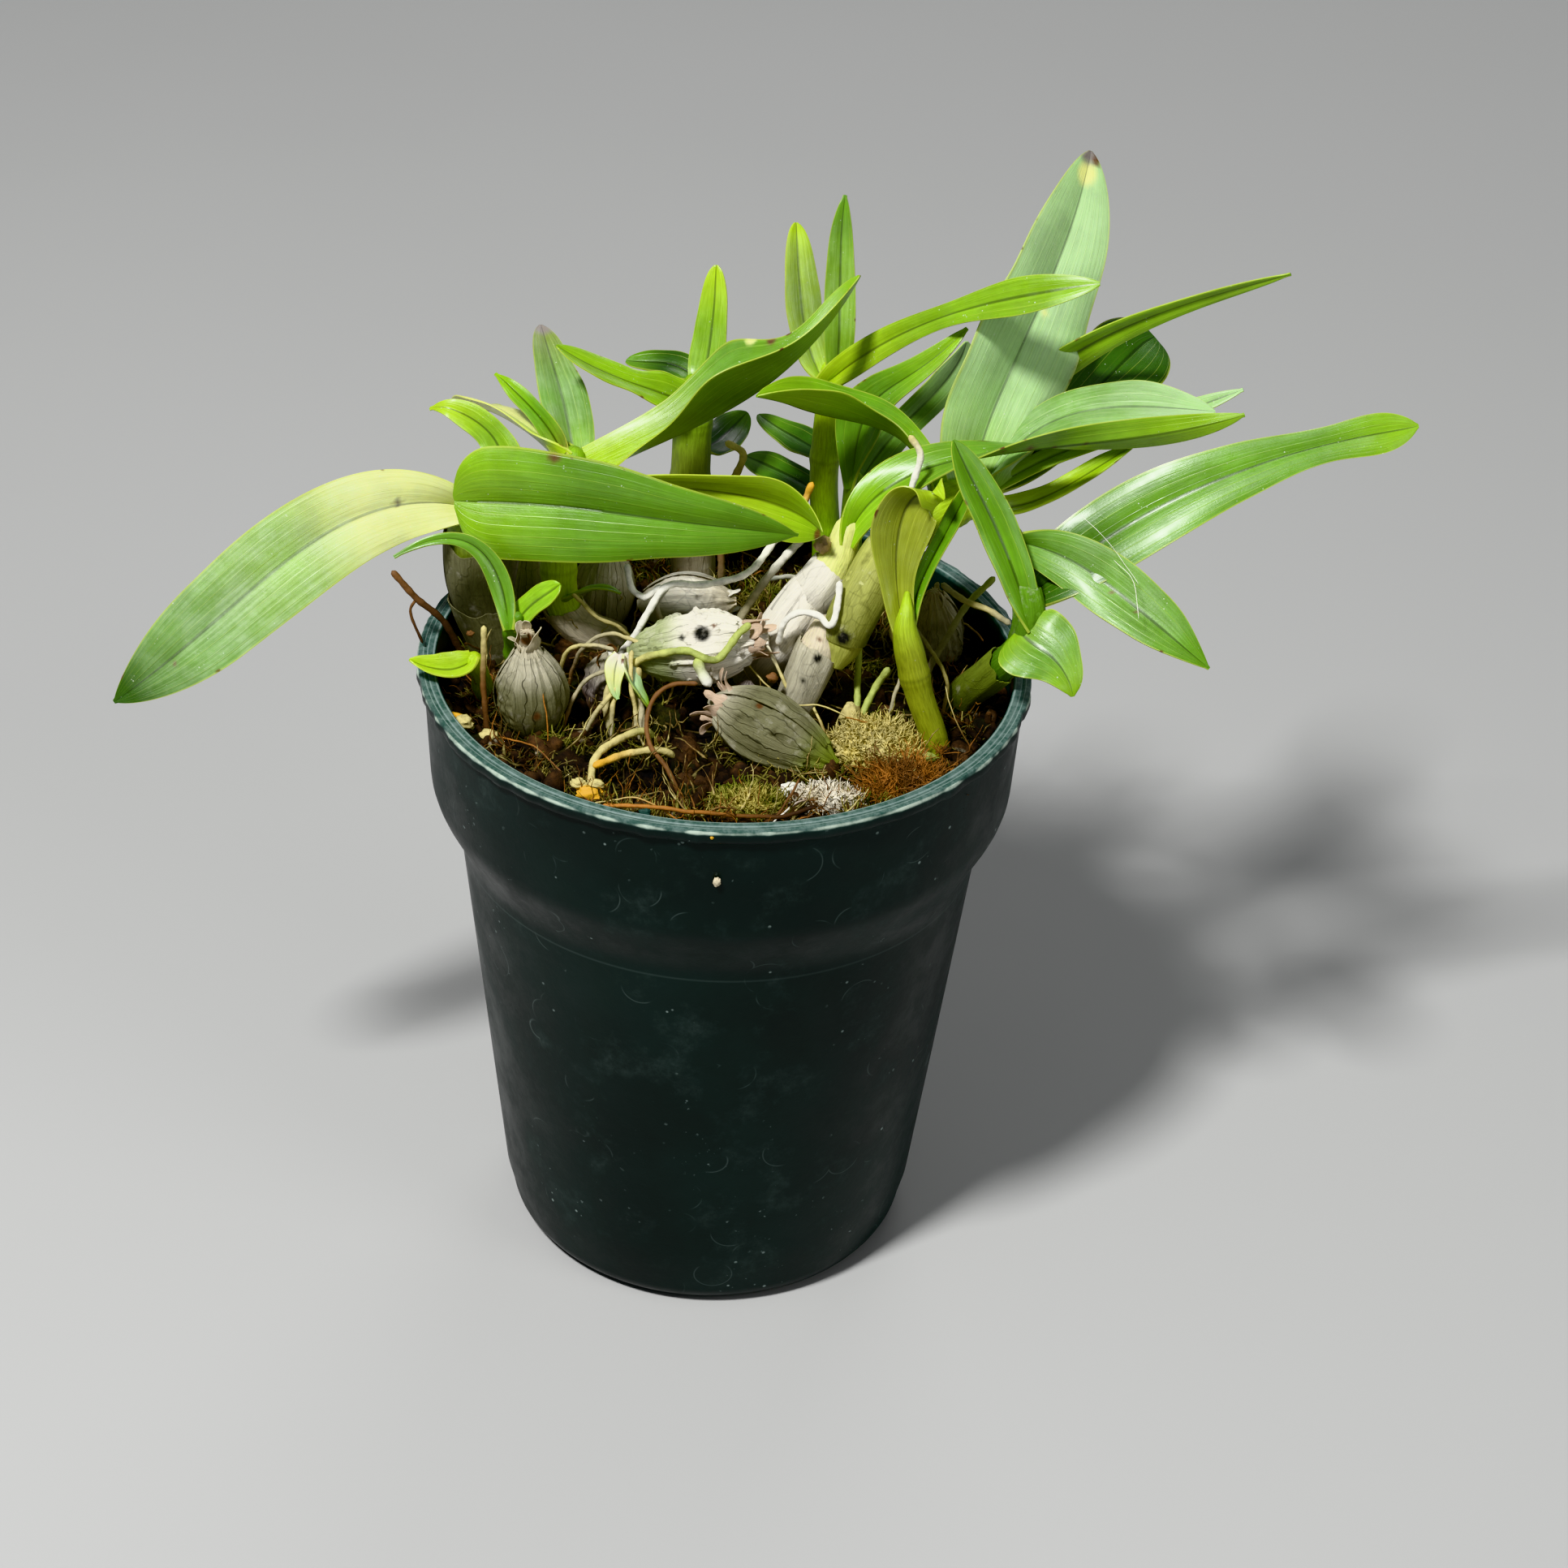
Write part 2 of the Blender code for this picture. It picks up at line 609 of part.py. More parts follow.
def make_pot(collection, cutters):
    """Thin-walled pot with a stepped collar, a flat lip and drain holes in its floor."""
    outside = wall_profile(0.0, 4)
    inside = wall_profile(WALL, 2)
    lip_inner = RIM_RADIUS - LIP_WIDTH
    lip = [(lip_inner, POT_HEIGHT - 0.4), (lip_inner + 0.4, POT_HEIGHT),
           (RIM_RADIUS - 0.5, POT_HEIGHT), (RIM_RADIUS, POT_HEIGHT - 0.5),
           (RIM_RADIUS, POT_HEIGHT - 2.4)]
    under_lip = (lip_inner, POT_HEIGHT - 3.0)
    profile = [(0, FLOOR), (inside[-1][0], FLOOR), *reversed(inside[1:-1]), under_lip,
               *lip, *outside, (0, 0)]
    pot = turned("nursery_pot", profile, POT_SIDES, collection)
    for index in range(DRAIN_HOLES):
        angle = 2 * math.pi * (index + 0.5) / DRAIN_HOLES
        edit = bmesh.new()
        place = Matrix.Translation((DRAIN_RING * math.cos(angle) * MM,
                                    DRAIN_RING * math.sin(angle) * MM, FLOOR / 2 * MM))
        bmesh.ops.create_cone(edit, cap_ends=True, segments=12, radius1=DRAIN_RADIUS * MM,
                              radius2=DRAIN_RADIUS * MM, depth=3 * FLOOR * MM, matrix=place)
        mesh = bpy.data.meshes.new("drain_hole")
        edit.to_mesh(mesh)
        edit.free()
        as_cutter(object_of("drain_hole", mesh, cutters))
    cut = pot.modifiers.new("Drain holes", "BOOLEAN")
    cut.operation = "DIFFERENCE"
    cut.operand_type = "COLLECTION"
    cut.collection = cutters
    finish(pot, POT_GREEN, 0.4)
    return pot


def mix_height(x, y):
    """Level of the mix at a place: uneven by a millimetre or so and a little sunk at the rim."""
    lumps = noise.noise(Vector((x * 0.11, y * 0.11, 0.3))) * 1.6
    crumbs = noise.noise(Vector((x * 0.33, y * 0.33, 4.1))) * 0.8
    edge = 1.0 - min(1.0, max(0.0, (math.hypot(x, y) - 38) / 9))
    return MIX_TOP - 0.6 + (lumps + crumbs) * (0.3 + 0.7 * edge)


def make_mix(collection, cutters):
    """The potting mix that fills the pot, with a lumpy top and a plain hole for each stalk."""
    below = wall_profile(WALL + WALL_GAP, 2)
    below = [(radius, max(height, FLOOR + SEAT_GAP)) for radius, height in below[1:]]
    edge = RIM_RADIUS - LIP_WIDTH - SEAT_GAP
    rings = [(radius, MIX_TOP) for radius in (0, *MIX_RINGS)]
    profile = [*rings, (edge - 0.6, MIX_TOP), *below, (0, FLOOR + SEAT_GAP)]
    mix = baked(turned("potting_mix", profile, MIX_SIDES, collection), collection)
    for vertex in mix.data.vertices:
        if vertex.co.z > (MIX_TOP - 1) * MM:
            vertex.co.z = mix_height(vertex.co.x / MM, vertex.co.y / MM) * MM
    mix.name = "potting_mix"
    cut = mix.modifiers.new("Stalk holes", "BOOLEAN")
    cut.operation = "DIFFERENCE"
    cut.operand_type = "COLLECTION"
    cut.collection = cutters
    finish(mix, MIX_BROWN, 0.9)
    return mix


def make_growth(name, growth, collection, cutters):
    pieces = []
    for index, route in enumerate(growth.stalks):
        pieces.append(tube(f"{name}.stalk{index}", route, collection))
        if route[0][2] < MIX_TOP:
            buried = [place for place in route if place[2] < HOLE_CEILING]
            as_cutter(tube(f"{name}.hole{index}", buried, cutters, spare=SEAT_GAP))
    for index, leaf in enumerate(growth.leaves):
        pieces.append(blade(f"{name}.leaf{index}", leaf, collection))
    finish(fused(name, pieces, collection), growth.colour)


def bulb_profile(bulb, spare):
    """Radii from foot to top of an egg-shaped bulb whose papery neck ends blunt."""
    length = (Vector(bulb.top) - Vector(bulb.foot)).length
    count = 8
    points = [(0, length + spare)]
    for step in range(count, -1, -1):
        s = step / count
        if s < bulb.waist:
            swell = math.sin(math.pi / 2 * s / bulb.waist)**0.6
        else:
            swell = math.cos(math.pi / 2 * (s - bulb.waist) / (1 - bulb.waist))**bulb.lean
        level = s * length + spare * (2 * s - 1)
        points.append((max(0.18 * bulb.radius, bulb.radius * swell) + spare, level))
    points.append((0, -spare))
    return points


def bulb_body(name, bulb, collection, spare=0.0):
    body = turned(name, bulb_profile(bulb, spare), 12, collection)
    axis = Vector(bulb.top) - Vector(bulb.foot)
    turn = axis.to_track_quat("Z", "Y").to_matrix().to_4x4()
    body.matrix_world = Matrix.Translation(Vector(bulb.foot) * MM) @ turn
    return body


def make_bulb(name, bulb, collection, cutters):
    finish(bulb_body(name, bulb, collection), bulb.colour, 0.75)
    cutter = baked(bulb_body(name + ".hole", bulb, cutters, SEAT_GAP), cutters)
    as_cutter(cutter)


def make_root(name, colour, routes, radius, collection, cutters):
    pieces = []
    for index, route in enumerate(routes):
        sized = smooth_route([(*place, radius) for place in route])
        pieces.append(tube(f"{name}.{index}", sized, collection, resolution=1))
        as_cutter(tube(f"{name}.hole{index}", sized, cutters, resolution=1, spare=SEAT_GAP))
    finish(fused(name, pieces, collection), colour)


def dome(name, centre, halves, spare, collection):
    """A lumpy low dome with its lower half sunk in the mix."""
    edit = bmesh.new()
    bmesh.ops.create_icosphere(edit, subdivisions=2, radius=1)
    for vertex in edit.verts:
        lump = 1 + 0.22 * noise.noise(vertex.co * 2.3 + Vector(centre))
        size = Vector(halves) + Vector((spare, spare, spare))
        place = Vector((vertex.co.x * size.x, vertex.co.y * size.y, vertex.co.z * size.z)) * lump
        vertex.co = (place + Vector(centre)) * MM
    mesh = bpy.data.meshes.new(name)
    edit.to_mesh(mesh)
    edit.free()
    return object_of(name, mesh, collection)


def make_tuft(name, colour, centre, halves, collection, cutters):
    finish(dome(name, centre, halves, 0.0, collection), colour, 0.9)
    as_cutter(dome(name + ".hole", centre, halves, SEAT_GAP, cutters))


def main():
    clear_scene()
    parts = new_collection("dendrobium_orchid")
    drains = new_collection("drain_cutters")
    cutters = new_collection("cutters")
    for name, growth in GROWTHS.items():
        make_growth(name, growth, parts, cutters)
    for name, bulb in BULBS.items():
        make_bulb(name, bulb, parts, cutters)
    for name, (colour, routes) in ROOTS.items():
        make_root(name, colour, routes, ROOT_RADIUS, parts, cutters)
    for name, (colour, radius, route) in DRY_PIECES.items():
        make_root(name, colour, [route], radius, parts, cutters)
    for name, (colour, centre, halves) in TUFTS.items():
        make_tuft(name, colour, centre, halves, parts, cutters)
    make_pot(parts, drains)
    make_mix(parts, cutters)


main()
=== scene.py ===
"""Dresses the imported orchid: veined leaves, papery bulbs, roots, moss, mix and pot.

Run with: blender --background --python scene.py
Places and sizes in the tables are in millimetres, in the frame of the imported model. MM brings
them to metres.
"""

import json
import math
import random
from collections import namedtuple

import bpy
import numpy as np
from bpy.props import FloatProperty, FloatVectorProperty, IntProperty, PointerProperty
from mathutils import Matrix, Vector, noise


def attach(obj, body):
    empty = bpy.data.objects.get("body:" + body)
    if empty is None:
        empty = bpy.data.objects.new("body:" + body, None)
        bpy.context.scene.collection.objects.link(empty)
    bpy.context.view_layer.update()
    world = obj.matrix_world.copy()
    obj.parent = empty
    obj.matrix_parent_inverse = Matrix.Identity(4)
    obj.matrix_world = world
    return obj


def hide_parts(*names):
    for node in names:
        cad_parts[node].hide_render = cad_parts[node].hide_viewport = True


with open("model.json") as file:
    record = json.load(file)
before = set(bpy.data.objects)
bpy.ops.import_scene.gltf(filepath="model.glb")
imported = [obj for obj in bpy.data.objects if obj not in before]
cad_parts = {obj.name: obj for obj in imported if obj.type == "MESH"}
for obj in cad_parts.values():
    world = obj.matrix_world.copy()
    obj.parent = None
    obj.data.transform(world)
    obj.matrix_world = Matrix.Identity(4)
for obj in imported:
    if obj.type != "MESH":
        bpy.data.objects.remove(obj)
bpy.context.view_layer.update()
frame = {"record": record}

bl_info = {
    "name": "Potted dendrobium orchid",
    "version": (1, 0, 0),
    "blender": (4, 5, 0),
    "location": "View3D > Sidebar > Orchid",
    "description": "Builds the leaves, bulbs, roots, moss, mix and pot of a young orchid",
    "category": "Object",
}

MM = 0.001
BODY = "root"

# Tables

# A blade follows a Bezier midrib from foot to tip. The rolls turn it at the foot, halfway and at
# the tip, the widths are at 0, 1/4, 1/2, 3/4 and, if given, 1, and the look names its colours
# from foot to tip.
# Bloom sheen is the waxy film together with a painted sheen, a whitish shine laid into the
# colour, hook the drop of the tip, channel the fold angle at the foot, puff how far each half
# swells, and lobe the share of the length over which the foot is rounded.
Leaf = namedtuple("Leaf", "midrib rolls widths fold taper look bloom hook channel puff lobe",
                  defaults=(60.0, 0.055, 0.0))

# How soft the fold at a midrib is, as a share of half the width, how far apart the rows and
# columns of a leaf are, the shares of its length where the foot's fold ends and where the tip
# starts to narrow and to hook, and one wave along it
RIDGE_SOFTNESS = 0.13
LEAF_ROW = 0.8
LEAF_COLUMN = 1.15
FOOT_END = 0.2
TIP_START = 0.7
HOOK_START = 0.86
ONE_WAVE = 6.28

# Stalks are routes of (x, y, z, radius).
Growth = namedtuple("Growth", "stalks leaves")

# Waist and lean shape a bulb between its foot and its top. Shreds counts its torn strips, which
# have the torn colour, and veins is how dark its veins are.
Bulb = namedtuple("Bulb", "foot top radius waist lean look shreds torn crumple veins spots foot_up",
                  defaults=("paper_beige", 1.0, 1.0, (), False))
Spot = namedtuple("Spot", "place radius colour")

# A route is a round rod through points of (x, y, z), with a look from foot to tip.
Route = namedtuple("Route", "points radius look")

GROWTHS = {
    "leafy_stem_left": Growth([
        [(-39, 12, 99, 4.6), (-39, 12, 106, 4.8), (-41, 11, 113, 4.8), (-42, 10, 120, 5.2),
         (-42, 9, 128, 5.0), (-41, 8, 134, 4.4), (-40, 8, 138, 2.6)],
    ], [
        Leaf([(-43, 7, 134), (-64, 1, 143), (-80, -12, 121), (-99, -15, 107)],
             (75, 62, 58), (7, 13.5, 15.5, 14), 5, 0.8, "straw straw fresh mid deep", 0.95, 0.0),
        Leaf([(-45, 4, 137), (-33, 2, 139), (-10, -6, 141), (11, 0, 136)],
             (-75, -85, -92), (17.5, 19.5, 17.5, 12), 5, 0.9, "fresh mid mid", 0.1, 0.0,
             9.0, 0.10, 0.16),
        Leaf([(-39, 9, 137), (-17, 12, 138), (9, 17, 136), (15, -1, 137)],
             (-125, -120, -80), (6, 9, 10, 13), 15, 0.7, "lime lime fresh", 0.0, 0.0),
        Leaf([(-40, 8, 138), (-35, 11, 142), (-41, 14, 148), (-50, 14, 149)],
             (45, 45, 35), (5, 7.5, 5.5, 5), 20, 0.8, "lime fresh lime", 0.1, 2.0),
    ]),
    "leafy_stem_young": Growth([
        [(-18, 14, 99, 2.2), (-19, 14, 105, 2.8), (-24, 13, 108, 3.0), (-28, 14, 112, 3.0),
         (-29, 15, 119, 3.0), (-29, 16, 127, 3.0), (-28, 17, 134, 3.2), (-27, 18, 138, 2.2)],
    ], [
        Leaf([(-28, 17, 137), (-36, 27, 141), (-49, 35, 141), (-44, 40, 132)],
             (-45, -30, -10), (6, 8.5, 12.5, 9), 10, 0.7, "lime straw lime", 0.1, 0.0),
        Leaf([(-28, 17, 138), (-31, 23, 142), (-35, 29, 141), (-41, 32, 146)],
             (40, 35, 25), (3.5, 4, 3.5, 3.5), 25, 0.7, "olive mid fresh", 0.0, 1.5),
        Leaf([(-27, 20, 136), (-28, 32, 135), (-32, 39, 144), (-35, 50, 146)],
             (-30, 0, -5), (6.5, 8.5, 9, 6.5), 15, 0.6, "fresh mid olive", 0.5, 0.0),
        Leaf([(-24, 18, 136), (-5, 25, 142), (9, 11, 156), (19, 30, 168)],
             (-30, 55, -5), (8, 12, 23, 9), 42, 0.6, "lime mid fresh", 0.15, 0.0, 30.0),
        Leaf([(-28, 12, 114), (-25, 10, 117), (-22, 9, 120), (-18, 7, 119)],
             (5, 5, 5), (1.5, 2, 2.5, 2), 15, 0.6, "fresh fresh fresh", 0.0, 0.0),
    ]),
    "leafy_stem_back_left": Growth([
        [(-7, 36, 99, 3.4), (-7, 36, 108, 3.5), (-8, 36, 119, 3.5), (-8, 37, 131, 3.4),
         (-8, 38, 138, 3.2), (-8, 39, 142, 1.8)],
    ], [
        Leaf([(-9, 37, 139), (-12, 31, 144), (-23, 33, 145), (-31, 33, 151)],
             (35, 10, 15), (6, 8.5, 6, 6), 15, 0.6, "fresh fresh fresh", 0.0, 0.0),
        Leaf([(-7, 40, 141), (-10, 44, 144), (-14, 45, 142), (-20, 46, 142)],
             (15, 15, 15), (4.5, 6, 6, 5.5), 15, 0.5, "mid deep mid", 0.0, 0.0),
        Leaf([(-7, 38, 141), (-5, 43, 146), (-5, 43, 154), (-5, 46, 161)],
             (5, 5, 0), (4.5, 6.5, 6, 5), 15, 0.5, "fresh fresh lime", 0.2, 0.0),
        Leaf([(-7, 38, 129), (-4, 44, 128), (-3, 49, 126), (1, 54, 129)],
             (-20, -20, -20), (3.5, 6, 7, 6.5), 10, 0.5, "deep deep mid", 0.0, 0.0),
    ]),
    "leafy_stem_back": Growth([
        [(16, 38, 99, 2.4), (16, 38, 112, 2.5), (15, 38, 124, 2.5), (15, 38, 135, 2.4),
         (15, 39, 146, 1.5)],
    ], [
        # Lime with a strong waxy film is painted light: this twin leaf stands in full light
        Leaf([(14, 39, 143), (9, 43, 151), (9, 40, 161), (8, 45, 170)],
             (5, 5, 10), (5, 6.5, 7.5, 6.5), 15, 0.5, "lime lime lime", 0.9, 0.0),
        Leaf([(16, 39, 144), (17, 38, 156), (15, 43, 165), (16, 42, 176)],
             (-5, 0, 0), (4, 5.5, 5.5, 4.5), 20, 0.6, "fresh fresh mid", 0.4, 1.5),
        Leaf([(15, 38, 144), (26, 31, 160), (40, 16, 172), (57, 15, 176)],
             (-75, -55, -55), (5.5, 5, 4, 6.5), 10, 0.6, "lime fresh fresh", 0.1, 0.0),
        Leaf([(15, 38, 130), (14, 45, 127), (8, 50, 127), (3, 57, 127)],
             (25, 20, 10), (3, 5, 6.5, 5), 10, 0.5, "deep deep mid", 0.0, 0.0),
        Leaf([(15, 38, 122), (13, 46, 119), (6, 51, 120), (1, 58, 118)],
             (25, 20, 25), (3, 5, 5.5, 6), 10, 0.5, "deep deep mid", 0.0, 0.0),
    ]),
    "leafy_stem_back_right": Growth([
        [(20, 30, 99, 1.9), (20, 29, 110, 2.0), (20, 28, 120, 2.0), (20, 26, 132, 1.7)],
    ], [
        Leaf([(20, 25, 131), (20, 31, 151), (24, 20, 148), (37, 25, 162)],
             (-50, -55, -50), (3.5, 9.5, 7.5, 5), 20, 0.6, "mid mid fresh", 0.1, 0.0),
        Leaf([(20, 27, 129), (25, 39, 136), (36, 47, 138), (38, 46, 149)],
             (-50, -75, -80), (3, 6, 6, 7), 10, 0.5, "mid mid silver", 0.3, 0.0),
        Leaf([(20, 27, 125), (22, 33, 129), (23, 38, 129), (24, 43, 133)],
             (0, 0, 0), (3, 5, 6, 5.5), 10, 0.5, "deep mid mid", 0.0, 0.0),
    ]),
    "leafy_stem_right": Growth([
        [(10, -7, 100, 2.6), (12, -8, 109, 3.0), (15, -5, 117, 3.2), (16, -4, 121, 2.2)],
        [(18, -6, 115, 1.4), (19, -5, 118, 3.0), (20, -4, 122, 3.7), (22, -2, 126, 3.8),
         (26, 3, 132, 3.8), (31, 6, 136, 3.6), (37, 10, 138, 3.6), (41, 13, 138, 2.8)],
    ], [
        # The fresh green at its foot is painted light, lighter where other leaves shade it
        Leaf([(40, 13, 133), (37, 22, 150), (52, 29, 162), (56, 46, 185)],
             (-30, -75, -50), (5.5, 18, 22, 18.5), 10, 0.65, "fresh silver silver", 0.55, 0.0),
        # Deep green all over is painted shade: this leaf lies behind the others in shade
        Leaf([(41, 15, 136), (56, 28, 143), (64, 38, 153), (70, 47, 151)],
             (-20, -25, -30), (5, 9, 12, 15), 5, 0.35, "deep deep deep", 0.0, 0.0),
        Leaf([(41, 15, 137), (43, 40, 148), (62, 30, 163), (88, 22, 176)],
             (-90, -105, -105), (3.5, 6, 6.5, 4), 15, 0.6, "mid fresh fresh", 0.1, 0.0),
        Leaf([(41, 14, 137), (48, 24, 149), (59, 17, 154), (78, 17, 153)],
             (-5, -10, -10), (5, 9, 10.5, 12), 10, 0.6, "mid mid silver", 0.6, 0.0),
        Leaf([(41, 14, 136), (51, 21, 144), (69, 24, 145), (82, 20, 156)],
             (-30, -30, -35), (2.5, 3.5, 4, 4), 15, 0.6, "fresh fresh silver", 0.1, 1.0),
        Leaf([(41, 14, 135), (50, 18, 131), (57, 18, 139), (66, 18, 146)],
             (-25, -20, -25), (4, 4.5, 4, 4), 25, 0.8, "lime lime fresh", 0.0, 0.0),
        Leaf([(33, 9, 137), (30, 22, 151), (16, 15, 146), (4, 8, 158)],
             (50, -20, -25), (6.5, 6, 9.5, 12.5), 50, 0.6, "fresh mid fresh", 0.0, 1.5),
    ]),
    "leafy_stem_middle": Growth([
        [(3, 6, 99, 2.8), (5, 3, 108, 3.4), (8, 0, 115, 4.0), (12, 2, 121, 3.8), (16, 4, 126, 3.5),
         (18, 5, 130, 2.8), (19, 6, 134, 2.2)],
    ], [
        Leaf([(19, 5, 132), (24, 9, 152), (58, 9, 147), (82, 11, 156)],
             (-85, 35, 115), (4.5, 9, 9.5, 7), 15, 0.7, "fresh mid fresh", 0.1, 0.0),
    ]),
    "leafy_stem_front": Growth([
        [(36, -14, 99, 2.2), (35, -13, 106, 2.2), (32, -12, 114, 2.3), (30, -11, 121, 2.5),
         (29, -10, 125, 2.0), (29, -9, 128, 1.2), (29, -7, 130, 0.5)],
    ], [
        Leaf([(30, -11, 121), (25, -2, 133), (26, 2, 149), (34, -4, 146)],
             (-25, -40, -40), (4.0, 6.0, 11, 10.5), 25, 0.6, "cane cane cane lime", 0.1, 0.0),
        Leaf([(30, -10, 122), (29, -2, 130), (36, -1, 138), (39, 4, 147)],
             (-5, -15, -20), (3.5, 3.5, 3.5, 4), 40, 0.6, "mid mid mid", 0.0, 0.0),
    ]),
    "leafy_stem_far_right": Growth([
        [(39, 2, 99, 2.4), (40, 1, 106, 2.6), (44, -4, 114, 2.5), (48, -7, 121, 2.5),
         (49, -6, 127, 2.4), (47, -2, 133, 1.9), (46, 2, 137, 1.3)],
    ], [
        Leaf([(49, -8, 125), (46, -4, 137), (40, 0, 143), (35, 3, 153)],
             (20, 20, 10), (4, 6.5, 7.5, 7), 15, 0.55, "mid mid mid", 0.0, 0.0),
        Leaf([(45, 2, 136), (60, 1, 134), (65, -8, 130), (78, -14, 123)],
             (-75, -60, -5), (4.5, 9, 10.5, 9.5), 12, 0.8, "mid mid mid", 0.35, 0.0),
        # The deep green at its foot is painted shade
        Leaf([(49, 0, 126), (72, 3, 150), (92, 10, 151), (110, 10, 156)],
             (-45, -40, -60), (11, 13, 9.5, 6, 12.5), 8, 0.72, "deep mid mid fresh", 0.1, 2.0),
        Leaf([(47.5, -8, 124.5), (49.5, -12, 124.5), (54.5, -13, 123.5), (56.5, -17, 118.5)],
             (-38, -34, -15), (11, 13, 12, 7.5), 8, 0.75, "fresh mid fresh", 0.2, 0.5,
             12.0, 0.055, 0.2),
    ]),
    "small_shoot_left": Growth([
        [(-34, 2, 100, 1.5), (-35, 0, 108, 1.5), (-35, -3, 115, 1.5), (-35, -6, 119, 1.4),
         (-34, -7, 122, 1.0)],
    ], [
        Leaf([(-35, -8, 120), (-37, -1, 130), (-42, -1, 138), (-54, -5, 131)],
             (80, 60, 50), (3, 4, 3, 2), 20, 0.6, "mid mid mid", 0.1, 0.0),
        Leaf([(-34, -6, 119), (-34, -5, 122), (-30, -6, 125), (-27, -6, 128)],
             (-45, -40, -40), (3.5, 4.5, 4.5, 4.5), 15, 0.4, "fresh fresh fresh", 0.1, 0.0),
    ]),
    "small_shoot_rim": Growth([
        [(-40, -3, 100, 1.5), (-40, -5, 108, 1.6), (-41, -8, 114, 1.5)],
    ], [
        Leaf([(-41, -8, 114), (-43, -11, 113), (-48, -11, 113), (-51, -12, 116)],
             (25, 30, 35), (4, 6, 6, 4.5), 40, 0.6, "lime lime lime", 0.1, 0.0),
    ]),
}

BUD = (
    Leaf([(-17, -9, 117), (-16, -11, 114), (-14, -12, 112), (-12, -12, 109)],
         (10, 20, 10), (2.8, 4.6, 4.0, 2.6), 30, 0.6, "paper_white silver fresh", 0.6, 0.0),
    Leaf([(-17, -9, 117), (-18, -11, 115), (-18, -12, 113), (-17, -13, 111)],
         (-10, 0, 10), (2.6, 4.0, 3.2, 2.2), 30, 0.6, "paper_white straw silver", 0.6, 0.0),
)

# Stalks: colours from foot to top, and where along it the nodes sit
STALK_LOOKS = {
    "leafy_stem_left": [("paper_dark paper_dark olive fresh", (0.3, 0.55, 0.8))],
    "leafy_stem_young": [("olive lime lime fresh", (0.3, 0.55, 0.8))],
    "leafy_stem_back_left": [("olive olive olive fresh", (0.3, 0.6, 0.85))],
    "leafy_stem_back": [("olive fresh lime lime", (0.35, 0.65))],
    "leafy_stem_back_right": [("olive fresh fresh", (0.4, 0.7))],
    "leafy_stem_right": [("paper_dark paper_grey paper_beige", (0.6,)),
                         ("dull_straw dull_straw dull_straw olive lime fresh", (0.35, 0.6, 0.85))],
    "leafy_stem_middle": [("paper_dark paper_grey paper_white straw straw", (0.45,))],
    "leafy_stem_front": [("cane cane cane lime", (0.58,))],
    # Deep green low down on this stalk is painted shade
    "leafy_stem_far_right": [("deep deep mid fresh", (0.4, 0.7))],
    "small_shoot_left": [("olive mid mid", (0.5,))],
    "small_shoot_rim": [("olive lime lime", (0.5,))],
}

# Papery collars round a stalk: stalk number, start and end along it, looseness, colour
COLLARS = {
    "leafy_stem_left": [(0, 0.10, 0.42, 0.5, "paper_dark"), (0, 0.38, 0.72, 0.4, "paper_dark")],
    "leafy_stem_young": [(0, 0.15, 0.40, 0.25, "paper_beige")],
    "leafy_stem_back_left": [(0, 0.10, 0.45, 0.3, "paper_beige")],
    "leafy_stem_right": [(0, 0.20, 0.85, 0.25, "paper_grey"), (1, 0.12, 0.50, 0.12, "dull_straw")],
    "leafy_stem_middle": [(0, 0.20, 0.68, 0.25, "paper_white"),
                          (0, 0.55, 0.84, 0.15, "paper_white")],
    "leafy_stem_far_right": [(0, 0.15, 0.45, 0.3, "olive"), (0, 0.60, 0.80, 0.1, "mid")],
}

# Blemishes: brown nicks, scars and dark spots
SPOTS = {
    "leafy_stem_left": [Spot((-54, 2, 137), 0.8, "brown"), Spot((-41, 6, 137), 0.7, "brown"),
                        Spot((-28, 3, 147), 1.1, "brown"), Spot((-89, -14, 114), 0.5, "brown"),
                        Spot((14, 0, 136), 1.2, "brown")],
    "leafy_stem_young": [Spot((6, 26, 157), 1.0, "brown"), Spot((2, 28, 158), 1.2, "straw"),
                         Spot((-35, 50, 146), 3.0, "grey")],
    "leafy_stem_right": [Spot((19, -9, 122), 1.4, "black"), Spot((15, -9, 118), 0.8, "black"),
                         Spot((15, -8, 121), 0.5, "brown"), Spot((13, -10, 114), 0.5, "black"),
                         Spot((54, 45, 181), 2.2, "straw"), Spot((56, 46, 185), 2.6, "grey"),
                         Spot((57, 46, 183), 1.0, "brown"),
                         Spot((50, 30, 163), 0.7, "straw")],
    "leafy_stem_middle": [Spot((48, 7, 149), 0.8, "brown"), Spot((52, 8, 149), 0.6, "brown"),
                          Spot((57, 9, 150), 0.6, "brown"), Spot((44, 6, 148), 0.5, "brown")],
    "leafy_stem_far_right": [Spot((66, -8, 130), 0.4, "brown"), Spot((62, -6, 132), 0.4, "brown")],
}

